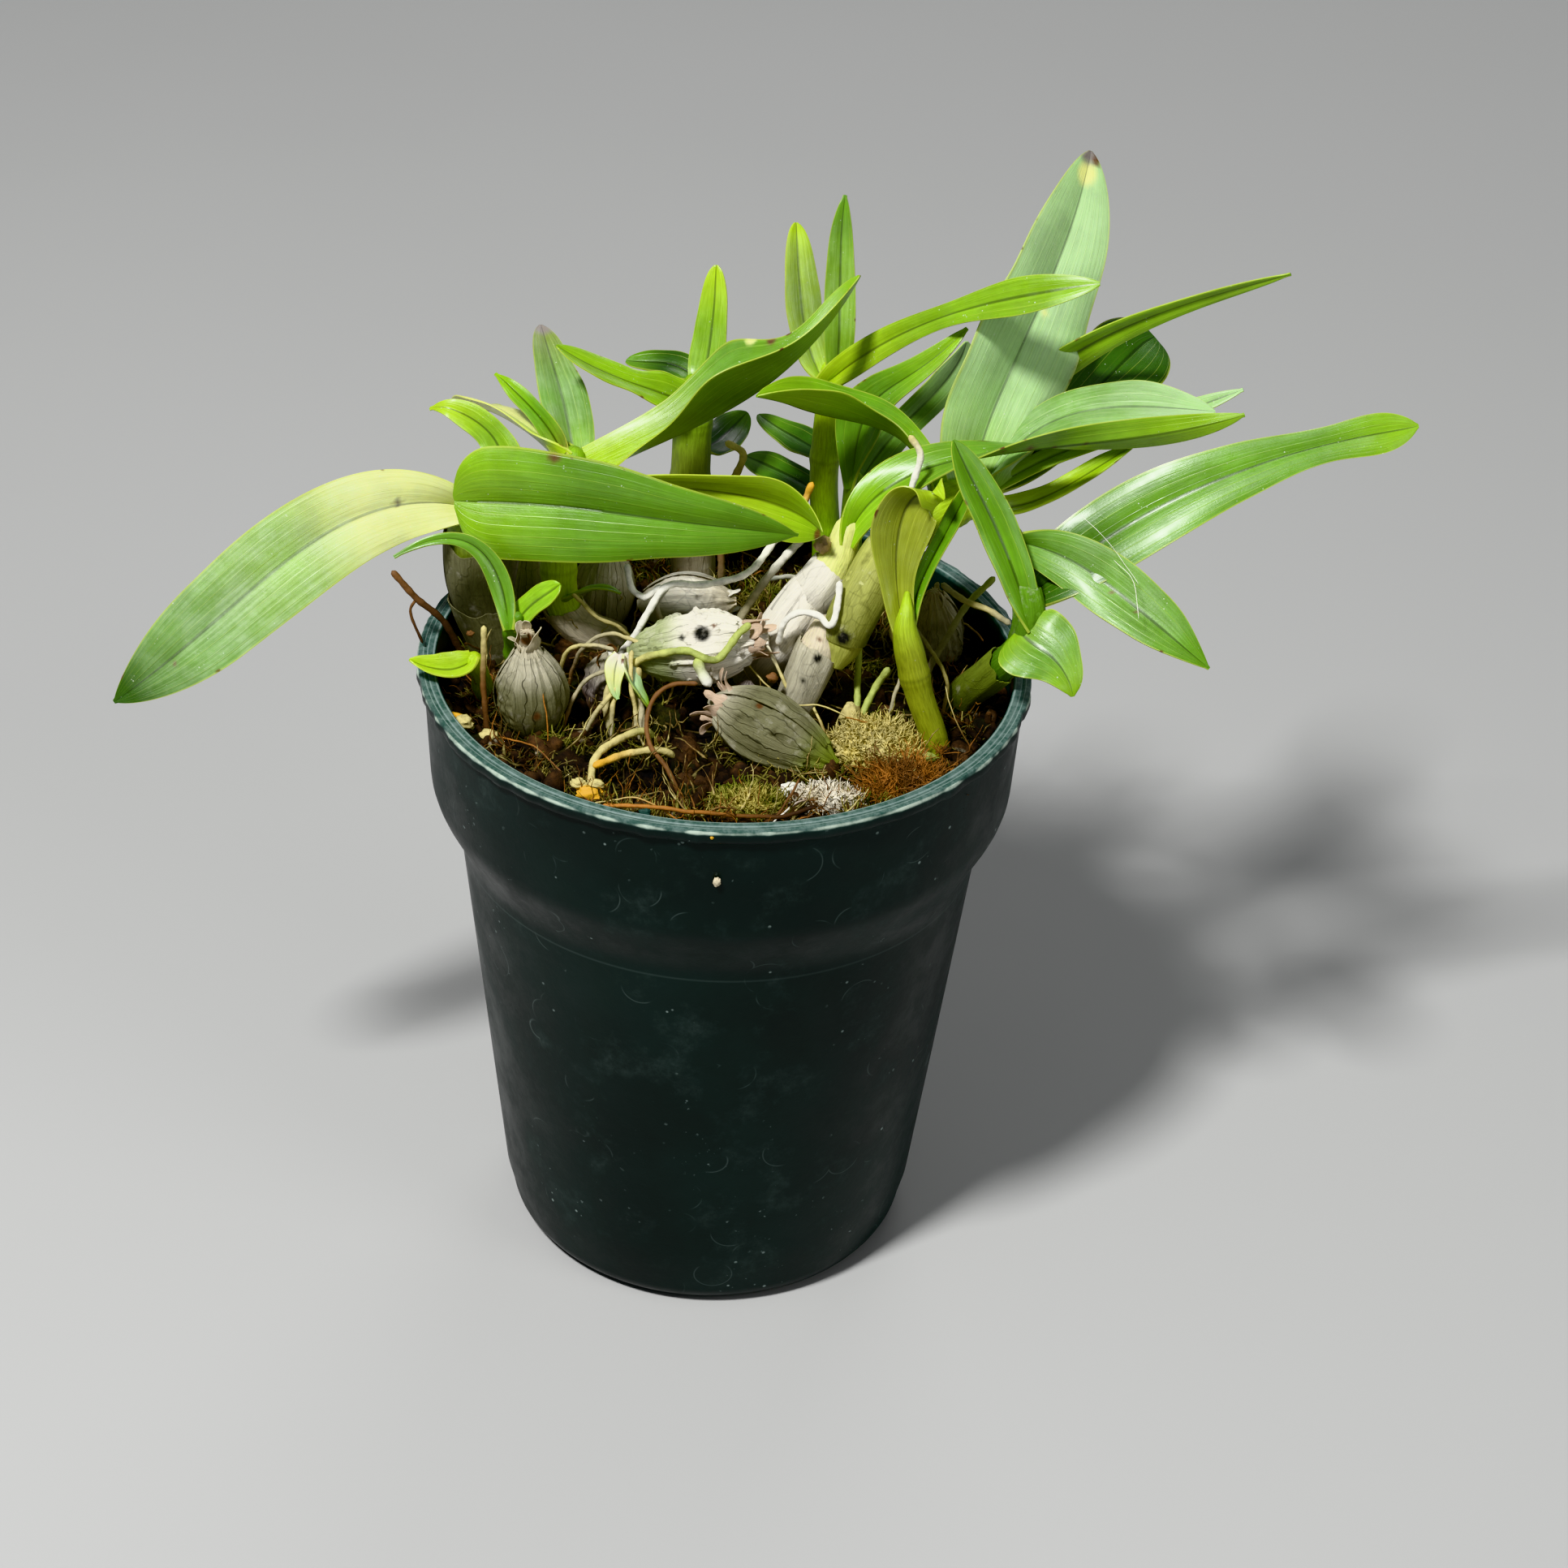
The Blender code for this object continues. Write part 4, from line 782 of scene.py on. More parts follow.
def leaf_finish():
    """Waxy leaf: parallel veins, painted shade along the midrib with a painted highlight beside it,
    pale rim, waxy film with painted sheen, and dust.
    """
    f = Finish("waxy_leaf", 0.4)
    f.soften(0.12, SAP_DEPTHS, 0.0012)
    f.give({"Coat Weight": 0.2, "Coat Roughness": 0.22})
    # The tint's alpha: how much waxy film and painted sheen the leaf has
    bloom = f.attribute("tint", "Alpha")
    along, across, across_mm = f.apart(f.attribute("blade", "Vector"))
    streak = f.grain(1.0, 4.0, 0.6, f.together(f.times(along, 5.0), f.times(across_mm, 2.2)))
    colour = f.shaded(f.attribute("tint"), streak, 0.84, 1.12)
    colour = f.shaded(colour, f.grain(110.0, 4.0, 0.6), 0.84, 1.12, 0.3, 0.7)
    sway = f.times(f.grain(1.6, 2.0, 0.5, f.together(along, 0.0)), 0.5)
    vein_at = f.plus(f.maths("DIVIDE", across_mm, sizes().vein_gap / MM), sway)
    vein, which = f.veins(vein_at, 0.055, 3.0)
    lighter = f.mix(0.35, f.scaled(colour, 1.45), palette("rim"))
    colour = f.mix(f.times(vein, f.band(which, 0.35, 0.65, 0.1, 0.75)), colour, lighter)
    from_midrib = f.maths("ABSOLUTE", across_mm)
    # Painted shade: the colour is darkened along the groove of the midrib
    groove = f.band(from_midrib, 0.5, 0.1)
    colour = f.darkened(colour, f.times(groove, 0.85), 0.32)
    # Painted highlight: a lighter band along each side of the midrib's groove
    shoulder = f.times(f.band(from_midrib, 1.3, 0.5), f.band(from_midrib, 0.3, 0.6))
    colour = f.laid(colour, shoulder, 0.2, f.scaled(colour, 1.3))
    # Waxy film with painted sheen: a streaky whitish shine laid into the colour
    film_and_sheen = f.times(bloom, f.band(f.grain(260.0, 5.0, 0.7), 0.3, 0.75, 0.22, 0.5))
    film_and_sheen = f.times(film_and_sheen, f.band(streak, 0.3, 0.7, 0.65, 1.25))
    colour = f.mix(film_and_sheen, colour, palette("bloom"))
    beside = f.maths("ABSOLUTE", across)
    colour = f.laid(colour, f.band(beside, 0.94, 0.995), 0.5, palette("rim"))
    dead = f.times(f.band(beside, 0.9, 0.97), f.band(f.grain(330.0, 2.0), 0.66, 0.74))
    colour = f.mix(dead, colour, palette("brown"))
    dust = f.specks(1500.0, (0.22, 0.12), f.grain(420.0, 3.0, 0.7), (0.56, 0.68))
    colour = f.laid(colour, dust, 0.75, LEAF_DUST)
    roughness = f.plus(f.times(film_and_sheen, 0.22), f.band(f.grain(500.0, 3.0), 0.2, 0.8, 0.27, 0.46))
    roughness = f.plus(roughness, f.times(dust, 0.3))
    height = f.plus(f.times(vein, 0.5), f.times(streak, 0.7))
    height = f.plus(height, f.times(f.grain(2600.0, 2.0), 0.25))
    return f.done(colour, roughness, height, 0.35, 0.00025)


def cane_finish():
    """Stem skin: fine ribs along it, darker nodes in its tint, a little dust."""
    f = Finish("stem_skin", 0.45)
    f.soften(0.1, SAP_DEPTHS, 0.001)
    _, around, along_mm = f.apart(f.attribute("blade", "Vector"))
    ribs = f.grain(1.0, 4.0, 0.65, f.together(f.times(around, 26.0), f.times(along_mm, 0.35)))
    colour = f.shaded(f.attribute("tint"), ribs, 0.72, 1.22)
    stain = f.band(f.grain(210.0, 4.0, 0.65), 0.5, 0.72)
    colour = f.darkened(colour, f.times(stain, 0.35), 0.45)
    dust = f.specks(1200.0, (0.2, 0.1), f.grain(350.0, 3.0), (0.55, 0.7))
    colour = f.laid(colour, dust, 0.6, STEM_DUST)
    height = f.plus(ribs, f.times(f.grain(1800.0, 3.0), 0.3))
    return f.done(colour, f.band(ribs, 0.2, 0.8, 0.36, 0.62), height, 0.45, 0.0003)


def paper_finish():
    """Dry papery skin: long dark veins, fibres, blotches and creases."""
    f = Finish("papery_skin", 0.8, 0.3)
    f.soften(0.08, PAPER_DEPTHS, 0.0008)
    _, around, down = f.apart(f.attribute("blade", "Vector"))
    warp = f.times(f.grain(120.0, 3.0, 0.6), 3.0)
    vein, which = f.veins(f.plus(f.times(around, 10.0), warp), 0.085, 7.0)
    vein = f.times(vein, f.band(which, 0.3, 0.6, 0.4, 1.0))
    vein = f.times(vein, f.band(f.grain(280.0, 3.0), 0.3, 0.5, 0.55, 1.0))
    vein = f.times(vein, f.attribute("tint", "Alpha"))
    fibre = f.grain(1.0, 4.0, 0.7, f.together(f.times(around, 90.0), f.times(down, 0.25)))
    blotch = f.grain(230.0, 5.0, 0.65)
    colour = f.shaded(f.attribute("tint"), fibre, 0.72, 1.14)
    colour = f.darkened(colour, f.band(blotch, 0.54, 0.74, 0.0, 0.6), 0.4)
    colour = f.mix(f.band(blotch, 0.44, 0.3, 0.0, 0.22), colour, palette("paper_white"))
    colour = f.darkened(colour, f.times(vein, 0.92), 0.16)
    crack = f.band(f.cells(330.0, "DISTANCE_TO_EDGE"), 0.07, 0.0)
    creased = f.times(crack, f.band(f.grain(120.0, 2.0), 0.45, 0.6))
    colour = f.darkened(colour, f.times(creased, 0.45), 0.5)
    height = f.plus(f.times(vein, 0.9), fibre)
    height = f.plus(height, f.times(f.grain(900.0, 4.0, 0.7), 0.8))
    return f.done(colour, f.band(blotch, 0.3, 0.7, 0.62, 0.9), height, 0.5, 0.0003)


def root_finish():
    """Spongy root skin: dull and mottled, with stuck dirt."""
    f = Finish("root_skin", 0.75, 0.3)
    mottle = f.grain(650.0, 5.0, 0.65)
    colour = f.shaded(f.attribute("tint"), mottle, 0.7, 1.15)
    dirt = f.band(f.grain(300.0, 4.0, 0.7), 0.56, 0.72)
    colour = f.darkened(colour, f.times(dirt, 0.55), 0.32)
    height = f.plus(mottle, f.times(f.grain(2200.0, 3.0), 0.5))
    return f.done(colour, f.band(mottle, 0.3, 0.7, 0.6, 0.85), height, 0.6, 0.00025)


def ground_finish():
    """Damp bark, peat and rusty coir between the bulbs, darkened with painted shade."""
    f = Finish("potting_mix", 0.85, 0.35)
    clump = f.grain(190.0, 6.0, 0.7)
    fine = f.grain(900.0, 5.0, 0.7)
    colour = f.mix(f.band(clump, 0.42, 0.70), palette("bark"), palette("dry"))
    rusty = f.band(f.grain(75.0, 4.0), 0.54, 0.66, 0.0, 0.6)
    colour = f.mix(rusty, colour, f.scaled(palette("coir"), 0.55))
    mossy = f.band(f.grain(58.0, 4.0, 0.6), 0.5, 0.6, 0.0, 0.8)
    colour = f.mix(mossy, colour, f.scaled(palette("moss_green"), 0.6))
    # Darker all over with a fine noise, partly the mix's own dark tone and partly painted shade
    # from the leaves and the rim, and painted shade deeper still in the low places
    colour = f.hollow_shade(f.shaded(colour, fine, 0.06, 0.42), 103.0, 106.5, 0.06)
    height = f.plus(clump, f.times(fine, 0.8))
    return f.done(colour, f.band(fine, 0.3, 0.7, 0.7, 0.95), height, 0.9, 0.001)


def fuzz_finish(name, low, high, dark):
    """Strands whose colour drifts from place to place between two tones."""
    f = Finish(name, 0.8, 0.3)
    strand = f.grain(1300.0, 3.0, 0.6)
    colour = f.mix(f.band(f.grain(150.0, 4.0, 0.6), 0.35, 0.65), palette(low), palette(high))
    # Painted shade: the strands are darker the lower they stand in the mix
    colour = f.hollow_shade(f.shaded(colour, strand, dark, 1.3), 103.5, 108.0, 0.15)
    return f.done(colour, f.band(strand, 0.3, 0.7, 0.65, 0.9), strand, 0.5, 0.0003)


def crumb_finish():
    """Bark crumbs, each a little different."""
    f = Finish("bark_crumb", 0.85, 0.35)
    own = f.grain(260.0, 2.0, 0.5)
    fine = f.grain(1200.0, 5.0, 0.7)
    colour = f.mix(f.band(own, 0.36, 0.6), palette("bark"), palette("dry"))
    colour = f.mix(f.band(own, 0.66, 0.72), colour, palette("paper_beige"))
    # Darker all over with a fine noise, partly the crumbs' own tone and partly painted shade, and
    # more painted shade in the low places
    colour = f.hollow_shade(f.shaded(colour, fine, 0.12, 0.65), 103.0, 107.0, 0.15)
    return f.done(colour, f.band(fine, 0.3, 0.7, 0.7, 0.95), fine, 0.8, 0.0006)


def pot_finish():
    """Dark pot plastic with a lighter teal lip top, a painted highlight with wear on it, painted
    highlights on the lip's lines, pale scuffs, dust and faint scratches.
    """
    f = Finish("pot_plastic", 0.45, 0.4)
    # Pale colour for real wear and for the painted highlights on the lip's lines
    scuff_and_highlight = palette("scuff_and_highlight")
    x, y, z = f.apart(f.place)
    level = f.maths("DIVIDE", z, MM)
    reach = f.maths("SQRT", f.plus(f.times(x, x), f.times(y, y)))
    reach = f.maths("DIVIDE", reach, MM)
    smear = f.grain(70.0, 6.0, 0.7)
    fine = f.grain(800.0, 4.0, 0.7)
    colour = f.shaded(palette("pot_green"), f.grain(26.0, 5.0, 0.6), 0.75, 1.5, 0.3, 0.7)
    film = f.times(f.band(smear, 0.5, 0.78), f.band(fine, 0.3, 0.7, 0.4, 1.0))
    drawn_out = put(f.tree, "ShaderNodeMapping", {"Vector": f.place, "Rotation": (0.4, 0.7, 0.2),
                                                  "Scale": (900.0, 60.0, 900.0)})[0]
    scratch = f.times(f.band(f.grain(1.0, 2.0, 0.5, drawn_out), 0.70, 0.76),
                      f.band(f.grain(40.0, 2.0), 0.5, 0.62))
    ring = f.times(f.band(f.away(f.cells(120.0), 0.42), 0.02, 0.0),
                   f.band(f.grain(90.0, 3.0), 0.56, 0.64))
    dust = f.specks(420.0, (0.16, 0.08), f.grain(160.0, 3.0), (0.58, 0.68))
    for mask, share in ((film, 0.11), (scratch, 0.28), (ring, 0.12), (dust, 0.5)):
        colour = f.laid(colour, mask, share, scuff_and_highlight)
    # The top of the lip: a lighter teal, a painted highlight, with pale wear mixed in
    lip = f.times(f.band(level, 111.1, 111.7), f.band(reach, 47.2, 47.8))
    worn = f.mix(f.band(fine, 0.35, 0.65, 0.0, 0.2), palette("lip_highlight_teal"), scuff_and_highlight)
    colour = f.mix(lip, colour, worn)
    # Painted highlights along the fine raised lines on the lip
    for radius, width, share in LIP_LINE_HIGHLIGHTS:
        line = f.times(f.band(f.away(reach, radius), width, 0.0), lip)
        colour = f.laid(colour, line, share, scuff_and_highlight)
    edge = f.times(f.band(reach, 50.65, 50.85), f.band(level, 111.3, 111.7))
    chalk = f.times(edge, f.band(f.grain(200.0, 4.0, 0.7), 0.3, 0.55, 0.4, 1.0))
    colour = f.laid(colour, chalk, 0.7, CHALK)
    mould = f.band(f.away(level, MOULD_LINE), 0.35, 0.0)
    colour = f.laid(colour, mould, 0.06, scuff_and_highlight)
    height = f.plus(f.times(smear, 0.5), f.times(fine, 0.25))
    height = f.maths("SUBTRACT", height, f.times(scratch, 0.4))
    roughness = f.plus(f.band(smear, 0.3, 0.75, 0.34, 0.55), f.times(lip, 0.12))
    return f.done(colour, roughness, height, 0.25, 0.0004)


def floor_finish():
    """Pale floor with a faint mottle."""
    f = Finish("pale_floor", 0.75, 0.3)
    mottle = f.grain(9.0, 4.0, 0.5)
    colour = f.mix(f.band(mottle, 0.3, 0.7, 0.0, 0.08), palette("floor"), FLOOR_GREY)
    return f.done(colour, f.band(mottle, 0.3, 0.7, 0.65, 0.8))


FINISHES = {"leaf": leaf_finish, "cane": cane_finish, "paper": paper_finish, "root": root_finish,
            "ground": ground_finish, "crumb": crumb_finish, "pot": pot_finish,
            "floor": floor_finish}
MADE_FINISHES = {}


def finish(name):
    """The finish of this name, made when it is first asked for."""
    if name not in MADE_FINISHES:
        MADE_FINISHES[name] = fuzz_finish(*FUZZ[name]) if name in FUZZ else FINISHES[name]()
    return MADE_FINISHES[name]


# Mesh building, all in millimetres until an object is made


class Shape:
    """Vertices, faces and their values, gathered for one mesh."""

    def __init__(self):
        self.verts, self.faces, self.tints, self.blades, self.slots = [], [], [], [], []
        self.count = 0

    def add(self, verts, quads, tris, tint, blade, slot=0):
        """One closed body. Its faces are turned outwards if they point inwards."""
        verts = np.asarray(verts, float)
        quads = np.asarray(quads, int).reshape(-1, 4)
        tris = np.asarray(tris, int).reshape(-1, 3)
        corners = np.concatenate([quads[:, :3], quads[:, [0, 2, 3]], tris])
        a, b, c = (verts[corners[:, k]] for k in range(3))
        if np.einsum("ij,ij->i", a, np.cross(b, c)).sum() < 0:
            quads, tris = quads[:, ::-1], tris[:, ::-1]
        self.verts.append(verts)
        self.faces += (quads + self.count).tolist() + (tris + self.count).tolist()
        self.slots += [slot] * (len(quads) + len(tris))
        self.tints.append(np.asarray(tint, float))
        self.blades.append(np.asarray(blade, float))
        self.count += len(verts)

    def mark(self, spots):
        """Colours the skin round each spot, centred on the nearest point of the skin."""
        verts, tints = np.concatenate(self.verts), np.concatenate(self.tints)
        for spot in spots:
            away = np.linalg.norm(verts - spot.place, axis=1)
            centre = verts[away.argmin()]
            away = np.linalg.norm(verts - centre, axis=1) / spot.radius
            share = np.clip((1.15 - away) / 0.5, 0, 1)[:, None]
            tints[:, :3] += (np.array(palette(spot.colour)) - tints[:, :3]) * share
        self.verts, self.tints = [verts], [tints]

    def object(self, name, finishes, sharp=55):
        """A mesh object of all that was added, sharp at edges beyond this angle in degrees."""
        mesh = bpy.data.meshes.new(name)
        mesh.from_pydata((np.concatenate(self.verts) * MM).tolist(), [], self.faces)
        tints = mesh.color_attributes.new("tint", "FLOAT_COLOR", "POINT")
        tints.data.foreach_set("color", np.concatenate(self.tints).astype(np.float32).ravel())
        blades = mesh.attributes.new("blade", "FLOAT_VECTOR", "POINT")
        blades.data.foreach_set("vector", np.concatenate(self.blades).astype(np.float32).ravel())
        for used in finishes:
            mesh.materials.append(finish(used))
        mesh.polygons.foreach_set("material_index", self.slots)
        mesh.shade_smooth()
        mesh.set_sharp_from_angle(angle=math.radians(sharp))
        return placed(name, mesh)


def placed(name, data):
    """A new object of this mesh, lamp or camera in the scene."""
    made = bpy.data.objects.new(name, data)
    bpy.context.scene.collection.objects.link(made)
    return made


def settle(piece, slot, *nodes):
    """Puts the piece on the one body and hides the nodes it stands for."""
    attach(piece, BODY)
    if nodes:
        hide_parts(*nodes)


def plain_body(name, rings, skin, sharp):
    """A closed object of rings in one finish, with no colours of its own."""
    verts, quads, tris = capped_tube(rings)
    shape = Shape()
    shape.add(verts, quads, tris, np.ones((len(verts), 4)), np.zeros((len(verts), 3)))
    return shape.object(name, [skin], sharp)


def clipped(value):
    """The value, held between 0 and 1."""
    return min(1.0, max(0.0, value))


def noise_at(x, y, z):
    """Builds the whole scene."""
    return noise.noise(Vector((x, y, z)))


def gradient(look, at):
    """Colours of a look at each share from its foot, 0, to its tip, 1."""
    stops = np.array([palette(name) for name in look.split()])
    where = np.clip(at, 0, 1) * (len(stops) - 1)
    low = np.minimum(where.astype(int), len(stops) - 2)
    share = (where - low)[:, None]
    share = share * share * (3 - 2 * share)
    return stops[low] * (1 - share) + stops[low + 1] * share


def with_alpha(colours, alpha):
    """The colours with one alpha for all."""
    return np.concatenate([colours, np.full((len(colours), 1), alpha)], 1)


def catmull_rom(a, b, c, d, t):
    """The place at t between b and c on a smooth curve through all four."""
    return 0.5 * (2 * b + (c - a) * t + (2 * a - 5 * b + 4 * c - d) * t**2
                  + (3 * b - a - 3 * c + d) * t**3)


def smooth_route(route, spacing):
    """Points about this far apart on a Catmull-Rom curve through the route."""
    route = np.asarray(route, float)
    ends = np.concatenate([[2 * route[0] - route[1]], route, [2 * route[-1] - route[-2]]])
    dense = [catmull_rom(*four, t) for four in zip(ends, ends[1:], ends[2:], ends[3:])
             for t in np.arange(0, 1, 1 / 16)]
    dense = np.array([*dense, route[-1]])
    gaps = np.linalg.norm(np.diff(dense[:, :3], axis=0), axis=1)
    lengths = np.concatenate([[0], np.cumsum(gaps)])
    wanted = np.linspace(0, lengths[-1], max(3, int(lengths[-1] / spacing) + 1))
    points = np.stack([np.interp(wanted, lengths, dense[:, k]) for k in range(route.shape[1])], 1)
    return points, wanted


def frames_along(points):
    """Two directions square to the path at each point, carried along without twist."""
    slopes = np.gradient(points, axis=0)
    slopes /= np.linalg.norm(slopes, axis=1)[:, None]
    first = np.cross(slopes[0], (0.3, 1.0, 0.2))
    sides = [first / np.linalg.norm(first)]
    for slope in slopes[1:]:
        side = sides[-1] - slope * (sides[-1] @ slope)
        sides.append(side / np.linalg.norm(side))
    sides = np.array(sides)
    return sides, np.cross(slopes, sides), slopes


def round_path(centre, radius, turn, side, other):
    """Points at this radius and turn about a path with these two sideways directions."""
    return (centre + (radius * np.cos(turn))[..., None] * side
            + (radius * np.sin(turn))[..., None] * other)


def grid_faces(rows, columns, closed):
    """Quads of a grid of vertices, closed across its columns if asked."""
    index = np.arange(rows * columns).reshape(rows, columns)
    right = np.roll(index, -1, 1) if closed else index[:, 1:]
    left = index if closed else index[:, :-1]
    return np.stack([left[:-1], left[1:], right[1:], right[:-1]], -1).reshape(-1, 4)


def capped_tube(rings):
    """Vertices and faces of a tube of rings (rows, around, 3) with a pole at each end."""
    rows, around = rings.shape[:2]
    verts = np.concatenate([rings.reshape(-1, 3), [rings[0].mean(0)], [rings[-1].mean(0)]])
    ring = np.arange(around)
    after = np.roll(ring, -1)
    last = (rows - 1) * around
    foot = np.stack([np.full(around, rows * around), ring, after], 1)
    top = np.stack([np.full(around, rows * around + 1), last + after, last + ring], 1)
    return verts, grid_faces(rows, around, True), np.concatenate([foot, top])


def thin_shell(sheet, thickness):
    """A closed shell of this thickness (rows, columns) about a sheet of points."""
    rows, columns = sheet.shape[:2]
    normal = np.cross(np.gradient(sheet, axis=1), np.gradient(sheet, axis=0))
    normal /= np.maximum(np.linalg.norm(normal, axis=2), 1e-9)[:, :, None]
    half = normal * (thickness / 2)[:, :, None]
    verts = np.concatenate([(sheet + half).reshape(-1, 3), (sheet - half).reshape(-1, 3)])
    upper = grid_faces(rows, columns, False)
    index = np.arange(rows * columns).reshape(rows, columns)
    below = rows * columns
    quads = [upper, upper[:, ::-1] + below]
    for edge in (index[::-1, 0], index[:, -1], index[0, :], index[-1, ::-1]):
        a, b = edge[:-1], edge[1:]
        quads.append(np.stack([a, b, b + below, a + below], 1))
    return verts, np.concatenate(quads)


def add_skin(shape, sheet, thickness, tint, shade, veined, along, across, length, slot=0):
    """A dry skin about a sheet, with a tint for each row and its inner side darker by shade."""
    rows, columns = sheet.shape[:2]
    verts, quads = thin_shell(sheet, np.full((rows, columns), thickness))
    along, tint = np.repeat(along, columns), np.repeat(tint, columns, 0)
    place = np.stack([along, np.tile(across, rows), along * length], 1)
    shape.add(verts, quads, [], with_alpha(np.concatenate([tint, tint * shade]), veined),
              np.concatenate([place, place]), slot)


def bezier(points, t):
    """The place at t on a cubic Bezier curve."""
    a, b, c, d = (np.array(p, float) for p in points)
    return (1 - t)**3 * a + 3 * (1 - t)**2 * t * b + 3 * (1 - t) * t * t * c + t**3 * d


def bezier_slope(points, t):
    """The direction at t along a cubic Bezier curve."""
    a, b, c, d = (np.array(p, float) for p in points)
    slope = (1 - t)**2 * (b - a) + 2 * (1 - t) * t * (c - b) + t * t * (d - c)
    return slope / np.linalg.norm(slope)


# Leaves and stalks


def leaf_width(leaf, t):
    """Width at t through the four or five stated ones, drawn in to a blunt tip at the end."""
    last = leaf.widths[-1]
    stated = [2 * leaf.widths[0] - leaf.widths[1], *leaf.widths, 0.9 * last, 0.8 * last]
    cell = min(int(4 * t), 3)
    width = catmull_rom(*stated[cell:cell + 4], 4 * t - cell)
    into_tip = max(0.0, (t - TIP_START) / (1 - TIP_START))
    return max(0.7, width * max(0.0, 1 - into_tip**2)**leaf.taper)


def leaf_sheet(leaf, dice):
    """The leaf's middle surface, with the place of each point along and across it."""
    length = sum(np.linalg.norm(bezier(leaf.midrib, t + 0.05) - bezier(leaf.midrib, t))
                 for t in np.arange(0, 1, 0.05))
    widest = max(leaf.widths)
    rows = int(length / LEAF_ROW) + 16
    columns = 2 * int(max(6, widest / LEAF_COLUMN)) + 1
    steps = np.linspace(0, 1, rows)
    steps = steps * (1.3 - 0.3 * steps)
    shares = np.linspace(-1, 1, columns)
    across = 0.55 * shares + 0.45 * np.sin(math.pi / 2 * shares)
    chord = np.array(leaf.midrib[3], float) - leaf.midrib[0]
    chord[2] = 0
    level = np.cross(chord / np.linalg.norm(chord), (0, 0, 1))
    soft = np.sqrt(across**2 + RIDGE_SOFTNESS**2) - RIDGE_SOFTNESS
    soft /= soft[-1]
    phases = [dice.uniform(0, ANY_TURN) for _ in range(4)]
    waves = dice.uniform(2.0, 3.4)
    sheet = np.zeros((rows, columns, 3))
    for row, t in enumerate(steps):
        slope = bezier_slope(leaf.midrib, t)
        side = level - slope * (slope @ level)
        side /= np.linalg.norm(side)
        above = np.cross(side, slope)
        foot, middle, tip = leaf.rolls
        roll = math.radians(foot * (1 - t)**2 + 2 * middle * t * (1 - t) + tip * t * t)
        right = math.cos(roll) * side + math.sin(roll) * above
        upper = np.cross(right, slope)
        into_foot = max(0.0, 1 - t / FOOT_END)**2
        fold = math.radians(leaf.fold + (leaf.channel - leaf.fold) * into_foot)
        half = leaf_width(leaf, t) / 2
        if t < leaf.lobe:
            half *= math.sqrt(max(0.05, 1 - (1 - t / leaf.lobe)**2))
        open_part = math.sin(math.pi * min(1.0, t * 1.02))**0.5
        rise = half * math.sin(fold) * soft
        swell = leaf.puff * (1 + 1.2 * math.exp(-(t / 0.25)**2))
        rise = rise + swell * half * open_part * np.sin(math.pi * np.abs(across))
        wave = np.where(across > 0, math.sin(ONE_WAVE * waves * t + phases[0]),
                        math.sin(ONE_WAVE * waves * 1.13 * t + phases[1]))
        rise = rise + 0.035 * half * open_part * wave * np.abs(across)**2.5
        rise = rise - 0.10 * open_part * np.exp(-(across * half / 0.5)**2)
        rise = rise - leaf.hook * max(0.0, (t - HOOK_START) / (1 - HOOK_START))**2
        sway = 0.02 * half * math.sin(ONE_WAVE * 1.3 * t + phases[2])
        flat = half * math.cos(fold) * across + sway * open_part
        centre = bezier(leaf.midrib, t)
        sheet[row] = centre + np.outer(flat, right) + np.outer(rise, upper)
    along = np.repeat(steps[:, None], columns, 1)
    wide = np.repeat(across[None], rows, 0)
    return sheet, along, wide, widest / 2


def add_leaf(shape, leaf, dice):
    """A leaf as thick as the blade, coloured by its look, paler below, with its waxy film and
    painted sheen.
    """
    sheet, along, across, half = leaf_sheet(leaf, dice)
    thick = sizes().blade / MM * (0.42 + 0.58 * (1 - across**4))
    thick = thick * (1 + 0.8 * np.exp(-(along / 0.12)**2)) * (1 - 0.35 * along**6)
    verts, quads = thin_shell(sheet, thick)
    colours = gradient(leaf.look, along.ravel()) * dice.uniform(0.93, 1.07)
    under = colours * 0.9 + np.array(palette("rim")) * 0.06
    # The waxy film with its painted sheen, strongest along the middle of the blade
    film = leaf.bloom * np.clip(np.sin(math.pi * np.clip(along.ravel() * 1.05, 0, 1)), 0, 1)**0.6
    upper_tint = np.concatenate([colours, film[:, None]], 1)
    under_tint = np.concatenate([under, 0.3 * film[:, None]], 1)
    if leaf_faces_down(verts, len(colours)):
        upper_tint, under_tint = under_tint, upper_tint
    place = np.stack([along.ravel(), across.ravel(), across.ravel() * half], 1)
    place[:, 0] += dice.uniform(0, 40)
    shape.add(verts, quads, [], np.concatenate([upper_tint, under_tint]),
              np.concatenate([place, place]), 0)


def leaf_faces_down(verts, count):
    """True if the sheet's first side is the lower one."""
    return verts[:count, 2].mean() < verts[count:, 2].mean()


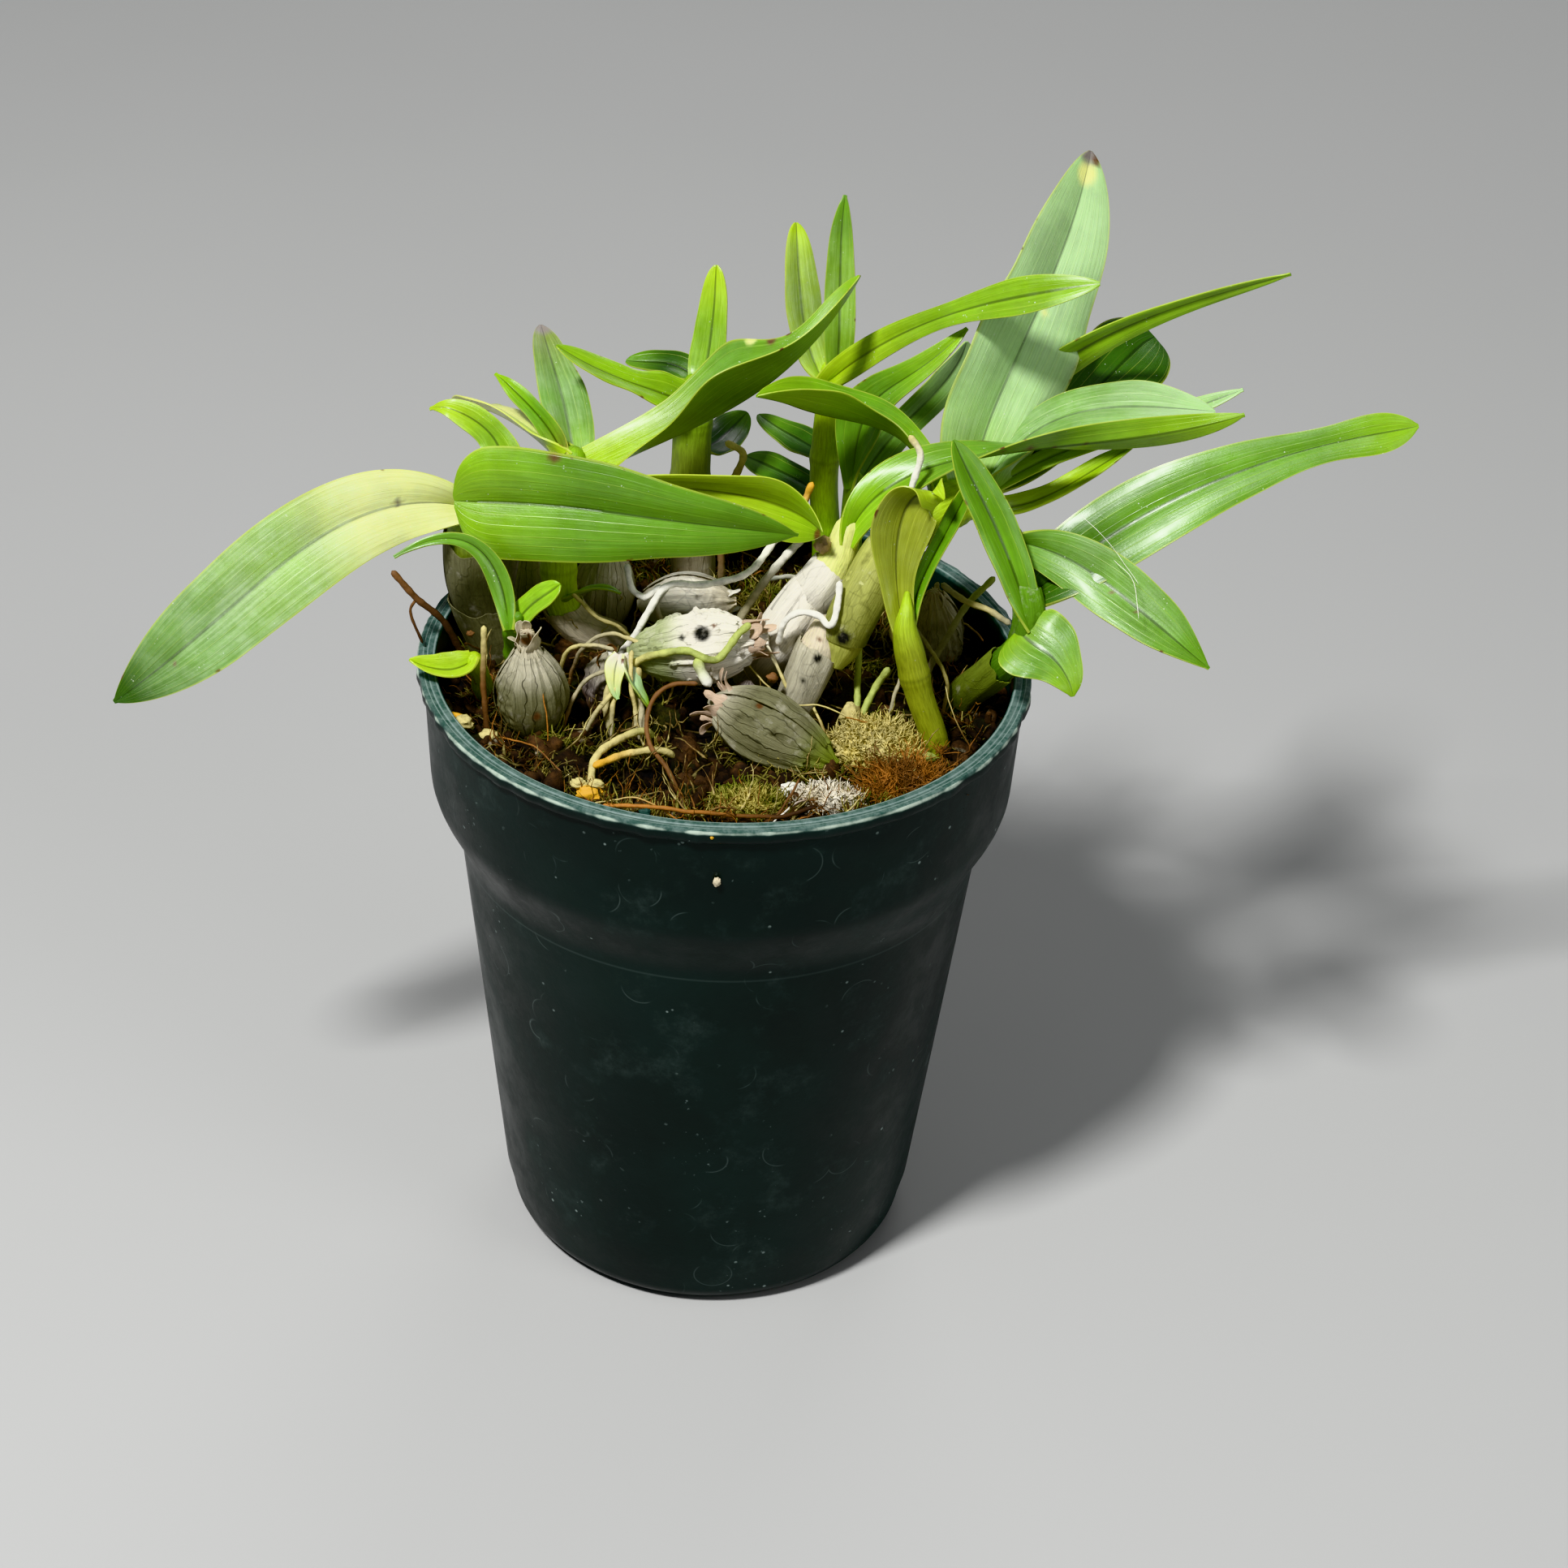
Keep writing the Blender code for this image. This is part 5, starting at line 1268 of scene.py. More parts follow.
def add_stalk(shape, route, look, nodes, dice):
    """A stalk along its route, swollen and ringed at each node, with a rounded top."""
    points, lengths = smooth_route(route, 0.6)
    centre, radius = points[:, :3], points[:, 3].copy()
    share = lengths / lengths[-1]
    colours = gradient(look, share)
    for node in nodes:
        swell = np.exp(-((share - node) * lengths[-1] / 1.1)**2)
        pinch = np.exp(-((share - node) * lengths[-1] / 0.35)**2)
        radius += 0.32 * swell - 0.14 * pinch
        colours = colours * (1 - 0.4 * pinch[:, None]) + 0.10 * swell[:, None] * colours
    side, other, slope = frames_along(centre)
    turn = np.arange(STALK_SIDES) / STALK_SIDES
    ribs = 1 + 0.014 * np.cos(2 * math.pi * (turn * 9 + dice.random()))
    ribs = ribs + 0.02 * np.cos(2 * math.pi * (turn * 2 + dice.random()))
    rings = round_path(centre[:, None], radius[:, None] * ribs, 2 * math.pi * turn,
                       side[:, None], other[:, None])
    ends = [centre[-1] + slope[-1] * out * radius[-1] + (rings[-1] - centre[-1]) * shrink
            for out, shrink in ((0.35, 0.92), (0.75, 0.66), (0.95, 0.32))]
    verts, quads, tris = capped_tube(np.concatenate([rings, ends]))
    share = np.concatenate([share, [1, 1, 1]])
    along = np.concatenate([lengths, lengths[-1] + np.array([0.3, 0.6, 0.9])])
    colours = np.repeat(np.concatenate([colours, colours[[-1] * 3]]), STALK_SIDES, 0)
    tint = with_alpha(np.concatenate([colours, colours[[0, -1]]]), 0.0)
    around = np.tile(np.abs(2 * turn - 1), len(share))
    place = np.stack([np.repeat(share, STALK_SIDES), around, np.repeat(along, STALK_SIDES)], 1)
    place = np.concatenate([place, place[[0, -1]]])
    place[:, 2] += dice.uniform(0, 60)
    shape.add(verts, quads, tris, tint, place, 1)


def add_collar(shape, route, start, end, loose, colour, dice):
    """A dry sheath wrapped once round a stalk, with a ragged upper edge."""
    points, lengths = smooth_route(route, 0.5)
    share = lengths / lengths[-1]
    side, other, _ = frames_along(points[:, :3])
    known = np.concatenate([points, side, other], 1)
    rows, columns = COLLAR_GRID
    turns = dice.uniform(0, ANY_TURN) + np.linspace(0, 2 * math.pi * 1.04, columns)
    ragged = [dice.uniform(-1, 1) for _ in range(columns)]
    ragged = np.convolve(ragged, np.ones(4) / 4, "same") * 0.9
    up = np.linspace(0, 1, rows)
    sheet = np.zeros((rows, columns, 3))
    for column, turn in enumerate(turns):
        top = end + (ragged[column] + 0.8 * math.cos(turn)) / lengths[-1]
        at = np.linspace(start, min(top, 0.99), rows)
        found = np.stack([np.interp(at, share, values) for values in known.T], 1)
        flare = loose * (0.35 + 0.65 * up**2) + 0.12 * column / columns
        crease = 0.10 * np.sin(turn * 7 + 3 * up) * (0.3 + up)
        reach = found[:, 3] + 0.12 + flare + crease
        way = math.cos(turn) * found[:, 4:7] + math.sin(turn) * found[:, 7:]
        sheet[:, column] = found[:, :3] + reach[:, None] * way
    tint = np.array(palette(colour)) * (0.5 + 0.55 * up[:, None])
    add_skin(shape, sheet, COLLAR_SKIN, tint, 0.8, 0.35, up, np.linspace(0, 1, columns), 12, 2)


def make_growth(name):
    """A growth's leaves, stalks, dry collars and blemishes."""
    growth = GROWTHS[name]
    dice = random.Random(name)
    shape = Shape()
    for leaf in growth.leaves:
        add_leaf(shape, leaf, dice)
    for route, (look, nodes) in zip(growth.stalks, STALK_LOOKS[name]):
        add_stalk(shape, route, look, nodes, dice)
    for stalk, *form in COLLARS.get(name, []):
        add_collar(shape, growth.stalks[stalk], *form, dice)
    shape.mark(SPOTS.get(name, []))
    used = ["leaf", "cane"] + (["paper"] if name in COLLARS else [])
    settle(shape.object(name + ".living", used), node_slot(name), name)


def make_bud():
    """A pale bud in the front cluster of roots, too small for a solid."""
    shape = Shape()
    dice = random.Random("bud")
    for leaf in BUD:
        add_leaf(shape, leaf, dice)
    settle(shape.object("front_bud", ["leaf"]), "fresh_leaf")


# Bulbs


def bulb_radius(bulb, share):
    """The bulb's radius at shares of its length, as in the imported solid."""
    low = np.sin(math.pi / 2 * np.clip(share / bulb.waist, 0, 1))**0.6
    high = np.cos(math.pi / 2 * np.clip((share - bulb.waist) / (1 - bulb.waist), 0, 1))**bulb.lean
    return np.maximum(0.16 * bulb.radius, bulb.radius * np.where(share < bulb.waist, low, high))


def bulb_frame(bulb):
    """The bulb's foot, its axis, two directions square to it, and its length."""
    foot, top = np.array(bulb.foot, float), np.array(bulb.top, float)
    axis = (top - foot) / np.linalg.norm(top - foot)
    side = np.cross(axis, (0.0, 1.0, 0.05))
    side /= np.linalg.norm(side)
    return foot, axis, side, np.cross(axis, side), np.linalg.norm(top - foot)


def bulb_sheet(bulb, shares, turns, lift, seams):
    """Points of the bulb's skin at these shares of its length and turns round it."""
    foot, axis, side, other, length = bulb_frame(bulb)
    share, turn = np.meshgrid(shares, turns, indexing="ij")
    radius = bulb_radius(bulb, share) + lift
    swell = np.sin(math.pi * np.clip(share, 0, 1))
    for place, height in seams:
        gap = np.abs((turn - place + math.pi) % (2 * math.pi) - math.pi)
        radius += height * np.exp(-(gap / SEAM_WIDTH)**2) * swell
    neck = np.clip((share - 0.72) / 0.28, 0, 1)
    radius += 0.28 * neck * np.cos(9 * turn + 4 * share) * (bulb.radius / 5)
    radius += 0.12 * swell * np.cos(5 * turn + 1.7 * np.sin(6 * share))
    return round_path(foot + (share * length)[..., None] * axis, radius, turn, side, other)


def add_bulb_body(shape, bulb, seams):
    """The bulb's own skin, dented all over."""
    rows, columns = BULB_GRID
    shares, turns = np.linspace(0, 1, rows), np.arange(columns) / columns * 2 * math.pi
    rings = bulb_sheet(bulb, shares, turns, 0.0, seams)
    for ring, centre in zip(rings, rings.mean(1)):
        for point in ring:
            at = Vector(point)
            dent = noise.noise(at * 0.35) * 0.35 + noise.noise(at * 1.1) * 0.25
            point += (point - centre) * (dent * (bulb.crumple / bulb.radius))
    verts, quads, tris = capped_tube(rings)
    colours = np.repeat(gradient(bulb.look, shares), columns, 0)
    tint = with_alpha(np.concatenate([colours, colours[[0, -1]]]), bulb.veins)
    along = np.repeat(shares, columns)
    around = np.tile(np.abs(turns / math.pi - 1), rows)
    place = np.stack([along, around, along * bulb_frame(bulb)[4]], 1)
    shape.add(verts, quads, tris, tint, np.concatenate([place, place[[0, -1]]]))


def add_husk(shape, bulb, seams, dice):
    """A loose outer skin that wraps a part of the bulb."""
    rows, columns = HUSK_GRID
    _, axis, _, _, length = bulb_frame(bulb)
    start, span = dice.uniform(0, ANY_TURN), dice.uniform(1.9, 2.9)
    low, high = dice.uniform(0.04, 0.14), dice.uniform(0.78, 0.93)
    shares = np.linspace(low, high, rows)
    husk = bulb_sheet(bulb, shares, start + np.linspace(0, span, columns), 0.30, seams)
    edge = np.abs(np.linspace(-1, 1, columns))[None]**6
    husk += (husk - husk.mean(1, keepdims=True)) * (0.05 * edge[..., None])
    for column in range(columns):
        nibble = 0.5 * noise_at(column * 0.35, start, 1.0)
        husk[:, column] += axis * np.linspace(-nibble, nibble, rows)[:, None] * 1.6
    tint = gradient(bulb.look, shares) * dice.uniform(1.0, 1.2)
    add_skin(shape, husk, HUSK_SKIN, tint, 0.7, bulb.veins, shares,
             np.linspace(0, span / 3.14, columns), length)


def add_shred(shape, start, outward, along, length, width, curl, colour, dice):
    """A torn strip of dry skin that bends away as it goes."""
    rows, columns = SHRED_GRID
    across = np.cross(along, outward)
    sheet = np.zeros((rows, columns, 3))
    place = np.array(start, float)
    angle = 0.0
    twist = dice.uniform(-0.9, 0.9)
    for row in range(rows):
        share = row / (rows - 1)
        angle += curl / rows
        heading = math.cos(angle) * along + math.sin(angle) * outward
        spin = twist * share
        right = math.cos(spin) * across + math.sin(spin) * np.cross(heading, across)
        span = width * (1 - 0.75 * share**2) * (1 + 0.25 * math.sin(9 * share + twist))
        for column in range(columns):
            shift = (column / (columns - 1) - 0.5) * span
            bow = 0.22 * span * (1 - (2 * column / (columns - 1) - 1)**2)
            sheet[row, column] = place + right * shift + outward * bow * 0.6
        place = place + heading * length / rows
    up = np.linspace(0, 1, rows)
    tint = np.array(palette(colour)) * (0.8 + 0.3 * up[:, None])
    add_skin(shape, sheet, SHRED_SKIN, tint, 0.8, 0.0, up, np.linspace(0, 0.12, columns), length)


def make_bulb(name):
    """An old bulb in its dry skin, with two husks and a fringe of torn strips."""
    bulb = BULBS[name]
    dice = random.Random(name + "skin")
    shape = Shape()
    seams = [(dice.uniform(0, ANY_TURN), dice.uniform(0.3, 0.6)) for _ in range(SEAMS)]
    add_bulb_body(shape, bulb, seams)
    for _ in range(2 if bulb.shreds else 0):
        add_husk(shape, bulb, seams, dice)
    foot, axis, side, other, length = bulb_frame(bulb)
    for index in range(bulb.shreds):
        turn = 2 * math.pi * (index + dice.uniform(0, 0.7)) / bulb.shreds
        outward = math.cos(turn) * side + math.sin(turn) * other
        at = dice.uniform(0.86, 0.96)
        way = axis
        if bulb.foot_up:
            at = dice.uniform(0.05, 0.12)
            way = -axis
        start = foot + axis * at * length + outward * (bulb_radius(bulb, np.array(at)) + 0.05)
        add_shred(shape, start - way * 0.8, outward, way, dice.uniform(2.6, 4.8) * bulb.radius / 5,
                  dice.uniform(1.4, 3.4), dice.uniform(-0.9, 2.2), bulb.torn, dice)
    shape.mark(bulb.spots)
    settle(shape.object(name + ".skin", ["paper"], 40), node_slot(name), name)


# Geometry Nodes


def new_tree(name, inputs):
    """A tree that takes geometry and these named inputs: (name, kind, default)."""
    tree = bpy.data.node_groups.new(name, "GeometryNodeTree")
    tree.is_modifier = True
    tree.interface.new_socket("Geometry", in_out="INPUT", socket_type="NodeSocketGeometry")
    for label, kind, default in inputs:
        socket = tree.interface.new_socket(label, in_out="INPUT", socket_type="NodeSocket" + kind)
        if default is not None:
            socket.default_value = default
    tree.interface.new_socket("Geometry", in_out="OUTPUT", socket_type="NodeSocketGeometry")
    return tree, put(tree, "NodeGroupInput")


def close_tree(tree, geometry, material):
    """Ends a tree with real geometry in its material."""
    real = put(tree, "GeometryNodeRealizeInstances", {"Geometry": geometry})[0]
    smooth = put(tree, "GeometryNodeSetShadeSmooth", {"Geometry": real})[0]
    done = put(tree, "GeometryNodeSetMaterial", {"Geometry": smooth, "Material": material})[0]
    put(tree, "NodeGroupOutput", {0: done})
    return tree


def wandering(tree, geometry, scale, seed, strength):
    """The geometry, with each point moved by a noise."""
    where = put(tree, "GeometryNodeInputPosition")[0]
    start = put(tree, "ShaderNodeCombineXYZ", {0: seed, 1: 0.0, 2: 0.0})[0]
    moved = put(tree, "ShaderNodeVectorMath", {0: where, 1: start}, operation="ADD")[0]
    field = put(tree, "ShaderNodeTexNoise", {"Vector": moved, "Scale": scale, "Detail": 2.0})[1]
    centred = put(tree, "ShaderNodeVectorMath", {0: field, 1: (0.5, 0.5, 0.5)},
                  operation="SUBTRACT")[0]
    return put(tree, "GeometryNodeSetPosition", {
        "Geometry": geometry, "Offset": scaled(tree, centred, strength)})[0]


def named_value(tree, name):
    """The attribute of this name."""
    return put(tree, "GeometryNodeInputNamedAttribute", {"Name": name}, data_type="FLOAT")[0]


def round_tube(tree, curve, sides, radius):
    """A capped tube along the curve, whose own radius is multiplied by this one."""
    ring = put(tree, "GeometryNodeCurvePrimitiveCircle", {"Resolution": sides, "Radius": radius},
               mode="RADIUS")[0]
    return put(tree, "GeometryNodeCurveToMesh", {
        "Curve": curve, "Profile Curve": ring, "Scale": put(tree, "GeometryNodeInputRadius")[0],
        "Fill Caps": True})[0]


def scattered(tree, given):
    """Points on the surface, as close as its attribute 'cover' says."""
    density = put(tree, "ShaderNodeMath", {0: given["Density"], 1: named_value(tree, "cover")},
                  operation="MULTIPLY")[0]
    return put(tree, "GeometryNodeDistributePointsOnFaces", {
        "Mesh": given["Geometry"], "Density": density, "Seed": given["Seed"]},
        distribute_method="RANDOM")


def random_value(tree, kind, low, high, seed):
    """A value between low and high for each point."""
    first, result = {"FLOAT_VECTOR": (0, 0), "FLOAT": (2, 1)}[kind]
    return put(tree, "FunctionNodeRandomValue", {first: low, first + 1: high, "Seed": seed},
               data_type=kind)[result]


def close_with_copies(tree, given, points, thing, turn, size, fineness, bend):
    """Ends a tree with a copy of the thing at each point, turned, sized and bent."""
    many = put(tree, "GeometryNodeInstanceOnPoints", {
        "Points": points, "Instance": thing, "Rotation": turn, "Scale": size})[0]
    real = put(tree, "GeometryNodeRealizeInstances", {"Geometry": many})[0]
    bent = wandering(tree, real, fineness, given["Seed"], bend)
    return close_tree(tree, bent, given["Finish"])


def rod_tree():
    """Round rods along lines of vertices, whose attribute 'thick' is the radius."""
    tree, given = new_tree("rods_along_routes", [
        ("Sides", "Int", 12), ("Wobble", "Float", 0.0004), ("Wobble scale", "Float", 260.0),
        ("Finish", "Material", None)])
    curve = put(tree, "GeometryNodeMeshToCurve", {0: given["Geometry"]})[0]
    curve = wandering(tree, curve, given["Wobble scale"], 0.0, given["Wobble"])
    curve = put(tree, "GeometryNodeSetCurveRadius", {
        "Curve": curve, "Radius": named_value(tree, "thick")})[0]
    return close_tree(tree, round_tube(tree, curve, given["Sides"], 1.0), given["Finish"])


def strand_tree():
    """Curling, tapering strands that stand on a surface."""
    tree, given = new_tree("strands_on_surface", [
        ("Density", "Float", 1e6), ("Length", "Float", 0.003), ("Thickness", "Float", 0.00012),
        ("Curl", "Float", 0.001), ("Lean", "Float", 1.0), ("Joints", "Int", 5), ("Seed", "Int", 0),
        ("Finish", "Material", None)])
    spread = scattered(tree, given)
    line = put(tree, "GeometryNodeCurveQuadraticBezier", {
        "Resolution": given["Joints"], "Start": (0.0, 0.0, -0.0003),
        "Middle": scaled(tree, (0.1, 0.0, 0.6), given["Length"]),
        "End": scaled(tree, (0.55, 0.1, 0.9), given["Length"])})[0]
    share = put(tree, "GeometryNodeSplineParameter")[0]
    taper = put(tree, "ShaderNodeMapRange", {"Value": share, "To Min": 1.0, "To Max": 0.25})[0]
    line = put(tree, "GeometryNodeSetCurveRadius", {"Curve": line, "Radius": taper})[0]
    lean = given["Lean"]
    back = put(tree, "ShaderNodeMath", {0: lean, 1: -1.0}, operation="MULTIPLY")[0]
    low = put(tree, "ShaderNodeCombineXYZ", {0: back, 1: back, 2: -math.pi})[0]
    high = put(tree, "ShaderNodeCombineXYZ", {0: lean, 1: lean, 2: math.pi})[0]
    tilt = put(tree, "FunctionNodeEulerToRotation", {
        0: random_value(tree, "FLOAT_VECTOR", low, high, given["Seed"])})[0]
    turned = put(tree, "FunctionNodeRotateRotation", {0: spread["Rotation"], 1: tilt},
                 rotation_space="LOCAL")[0]
    size = random_value(tree, "FLOAT", 0.5, 1.35, given["Seed"])
    return close_with_copies(tree, given, spread["Points"],
                             round_tube(tree, line, 3, given["Thickness"]), turned, size,
                             420.0, given["Curl"])


def crumb_tree():
    """Jagged crumbs strewn over a surface."""
    tree, given = new_tree("crumbs_on_surface", [
        ("Density", "Float", 6e4), ("Size", "Float", 0.0017), ("Jag", "Float", 0.0009),
        ("Seed", "Int", 0), ("Finish", "Material", None)])
    points = scattered(tree, given)["Points"]
    ball = put(tree, "GeometryNodeMeshIcoSphere", {"Radius": given["Size"], "Subdivisions": 2})[0]
    turn = put(tree, "FunctionNodeEulerToRotation", {0: random_value(
        tree, "FLOAT_VECTOR", (-3.1, -3.1, -3.1), (3.1, 3.1, 3.1), given["Seed"])})[0]
    size = random_value(tree, "FLOAT_VECTOR", (0.35, 0.25, 0.2), (1.2, 0.8, 0.5), given["Seed"])
    return close_with_copies(tree, given, points, ball, turn, size, 800.0, given["Jag"])


def with_modifiers(piece):
    """A mesh of the piece with its modifiers applied."""
    bpy.context.view_layer.update()
    graph = bpy.context.evaluated_depsgraph_get()
    return bpy.data.meshes.new_from_object(piece.evaluated_get(graph))


TREES = {}


def grown(name, mesh, make_tree, values):
    """A plain mesh object of what the tree makes from the mesh."""
    if make_tree not in TREES:
        TREES[make_tree] = make_tree()
    tree = TREES[make_tree]
    host = placed(name + ".host", mesh)
    modifier = host.modifiers.new("Grown", "NODES")
    modifier.node_group = tree
    identifiers = {item.name: item.identifier for item in tree.interface.items_tree
                   if item.item_type == "SOCKET" and item.in_out == "INPUT"}
    for label, value in values.items():
        modifier[identifiers[label]] = value
    made = with_modifiers(host)
    made.name = name
    bpy.data.objects.remove(host, do_unlink=True)
    return placed(name, made)


def rod_lines(routes, spacing):
    """A mesh of lines along the routes, with the radius and tint of each place."""
    verts, edges, thick, tints = [], [], [], []
    for route in routes:
        points, lengths = smooth_route(route.points, spacing)
        first = len(verts)
        verts += (points * MM).tolist()
        edges += [(first + k, first + k + 1) for k in range(len(points) - 1)]
        share = lengths / lengths[-1]
        from_end = np.minimum(lengths, lengths[-1] - lengths) / route.radius
        rounded = np.sqrt(np.clip(1 - (1 - np.clip(from_end, 0, 1))**2, 0.03, 1))
        bead = 1 + 0.07 * np.sin(lengths * 1.9) + 0.04 * np.sin(lengths * 4.3 + 1)
        thick += (route.radius * ROOT_SLIMNESS * rounded * bead * MM).tolist()
        tints += with_alpha(gradient(route.look, share), 1.0).tolist()
    mesh = bpy.data.meshes.new("routes")
    mesh.from_pydata(verts, edges, [])
    mesh.attributes.new("thick", "FLOAT", "POINT").data.foreach_set("value", thick)
    tint = mesh.attributes.new("tint", "FLOAT_COLOR", "POINT")
    tint.data.foreach_set("color", np.array(tints, np.float32).ravel())
    return mesh


def make_rods(name, routes, slot, nodes=(), sides=14, wobble=1.0, spacing=0.35):
    """A piece of round rods in the root finish along the routes."""
    piece = grown(name, rod_lines(routes, spacing), rod_tree, {
        "Sides": sides, "Wobble": sizes().root_wobble * wobble, "Finish": finish("root")})
    settle(piece, slot, *nodes)


# Mix and tufts


def mix_height(x, y):
    """Level of the mix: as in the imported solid, with finer crumbs on it."""
    lumps = noise_at(x * 0.11, y * 0.11, 0.3) * 1.6
    crumbs = noise_at(x * 0.33, y * 0.33, 4.1) * 0.8
    fine = noise_at(x * 0.9, y * 0.9, 1.1) * 0.7 + noise_at(x * 2.1, y * 2.1, 5) * 0.35
    edge = 1.0 - clipped((math.hypot(x, y) - 38) / 9)
    hollow = 5.0 * max(0.0, noise_at(x * 0.15, y * 0.15, 9.7) + 0.05)
    level = MIX_TOP - 0.5 + (lumps + crumbs) * (0.3 + 0.7 * edge) + fine - hollow
    return max(MIX_TOP - 3.0, level)


def wall_profile(inset, turns):
    """The pot's wall from the rim down to the base, moved in by the inset."""
    collar = RIM_RADIUS - COLLAR_INSET - inset
    shoulder = RIM_RADIUS - SHOULDER_INSET - inset
    body = RIM_RADIUS - BODY_INSET - inset
    collar_foot = POT_HEIGHT - COLLAR_HEIGHT
    step_foot = collar_foot - STEP_HEIGHT
    points = [(collar, POT_HEIGHT - 3.0), (shoulder, collar_foot)]
    for step in range(1, turns + 1):
        t = step / turns
        ease = t * t * (3 - 2 * t)
        points.append((shoulder + (body - shoulder) * ease,
                       collar_foot + (step_foot - collar_foot) * t))
    points.append((BASE_RADIUS + 1.5 - inset, 9.0))
    for step in range(turns):
        angle = math.radians(90 * step / (turns - 1))
        floor_level = inset if inset else 0.0
        points.append((BASE_RADIUS + 0.4 - inset - BASE_ROUNDING * (1 - math.cos(angle)),
                       floor_level + BASE_ROUNDING * (1 - math.sin(angle))))
    return points


def lathe(profile, sectors):
    """Rings (rows, sectors, 3) from (radius, height) points."""
    turn = np.arange(sectors) / sectors * 2 * math.pi
    profile = np.array(profile, float)
    rings = np.zeros((len(profile), sectors, 3))
    rings[:, :, 0] = profile[:, :1] * np.cos(turn)
    rings[:, :, 1] = profile[:, :1] * np.sin(turn)
    rings[:, :, 2] = profile[:, 1:]
    return rings


def bed_rings():
    """The top of the mix, from its middle out to the pot."""
    radii = np.linspace(MIX_AXIS, RIM_RADIUS - LIP_WIDTH - SEAT_GAP, BED_GRID[0])
    rings = lathe([(radius, MIX_TOP) for radius in radii], BED_GRID[1])
    for row in rings:
        for place in row:
            place[2] = mix_height(place[0], place[1])
    return rings


def surface_mesh(name, rings, cover):
    """An open surface from rings, with its cover worked out from each place."""
    verts = rings.reshape(-1, 3)
    faces = grid_faces(*rings.shape[:2], True)[:, ::-1]
    mesh = bpy.data.meshes.new(name)
    mesh.from_pydata((verts * MM).tolist(), [], faces.tolist())
    values = [clipped(cover(*place)) for place in verts]
    mesh.attributes.new("cover", "FLOAT", "POINT").data.foreach_set("value", values)
    if mesh.polygons[0].normal.z < 0:
        mesh.flip_normals()
    return mesh


def patchy(x, y, scale, level, seed):
    """0 to 1, high in patches of a noise."""
    return clipped((noise_at(x * scale, y * scale, seed) - level) / 0.25)


def inside(x, y, radius):
    """1 well inside the radius, 0 beyond it."""
    return clipped(radius - math.hypot(x, y))


def near_rim(x, y):
    """0 in the middle of the pot, 1 near its rim."""
    return clipped((math.hypot(x, y) - 30) / 12)


def strew(name, slot, rings, cover, make_tree, skin, values):
    """Crumbs or strands on a surface of rings, as close as the cover of each place says."""
    ground = surface_mesh(name + "_ground", rings, cover)
    settle(grown(name, ground, make_tree, {**values, "Finish": finish(skin)}), slot)


def make_mix():
    """The mix, with the crumbs, chips, moss, litter and coir that lie on it."""
    rings = bed_rings()
    below = [(radius, max(height, FLOOR + SEAT_GAP))
             for radius, height in wall_profile(WALL + WALL_GAP, 6)[1:]]
    lower = lathe([*below, (MIX_AXIS, FLOOR + SEAT_GAP)], rings.shape[1])
    bed = plain_body("potting_mix.bed", np.concatenate([rings, lower]), "ground", 70)
    settle(bed, "mix", "potting_mix")
    crumb, strand, seed = sizes().crumb_size, sizes().strand_length, sizes().seed
    strew("bark_crumbs", "mix", rings, lambda x, y, z: 0.35 + 0.65 * near_rim(x, y),
          crumb_tree, "crumb",
          {"Density": 2.3e5, "Size": crumb / 2, "Jag": crumb * 0.3, "Seed": seed})
    strew("bark_chips", "mix", rings, lambda x, y, z: inside(x, y, 44), crumb_tree, "crumb",
          {"Density": 3.2e4, "Size": crumb * 0.85, "Jag": crumb * 0.5, "Seed": seed + 5})
    strew("live_moss", "moss", rings,
          lambda x, y, z: patchy(x, y, 0.075, 0.0, 3.3) * inside(x, y, 45), strand_tree, "moss",
          {"Density": 2.0e6, "Length": strand, "Thickness": 0.00018, "Curl": 0.0011,
           "Lean": 1.1, "Joints": 4, "Seed": seed + 1})
    strew("gold_moss", "moss", rings,
          lambda x, y, z: near_rim(x, y) * patchy(x, y, 0.09, 0.12, 21.0) * inside(x, y, 45),
          strand_tree, "sponge",
          {"Density": 3.0e6, "Length": strand * 0.6, "Thickness": 0.0002, "Curl": 0.0012,
           "Lean": 1.2, "Joints": 4, "Seed": seed + 3})
    strew("dry_litter", "dry_brown", rings,
          lambda x, y, z: (0.3 + 0.7 * patchy(x, y, 0.06, -0.1, 13.0)) * inside(x, y, 41),
          strand_tree, "litter",
          {"Density": 1.6e5, "Length": 0.0075, "Thickness": 0.00022, "Curl": 0.0022,
           "Lean": 1.55, "Joints": 8, "Seed": seed + 4})
    strew("coir_fibres", "coir", rings,
          lambda x, y, z: near_rim(x, y) * patchy(x, y, 0.05, -0.25, 8.0) * inside(x, y, 42.5),
          strand_tree, "coir",
          {"Density": 7e5, "Length": 0.0055, "Thickness": 0.00013, "Curl": 0.003,
           "Lean": 1.5, "Joints": 7, "Seed": seed + 2})


def way_out(lean, turn):
    """The direction that leans this far from straight up and is turned this far round."""
    return (math.sin(lean) * math.cos(turn), math.sin(lean) * math.sin(turn), math.cos(lean))


def lumpy_rings(grid, first, span, centre, halves, lumps):
    """Rings of a rounded body from its top down, over this span of a half turn.

    Each lump is its height, its fineness and its place in the noise.
    """
    rings = np.zeros((*grid, 3))
    for row in range(grid[0]):
        lean = math.pi * (first + span * row / (grid[0] - 1))
        for column in range(grid[1]):
            way = Vector(way_out(lean, 2 * math.pi * column / grid[1]))
            bulge = sum((height * noise.noise(way * fineness + Vector(place))
                         for height, fineness, place in lumps), 1.0)
            rings[row, column] = [c + w * h * bulge for c, w, h in zip(centre, way, halves)]
    return rings


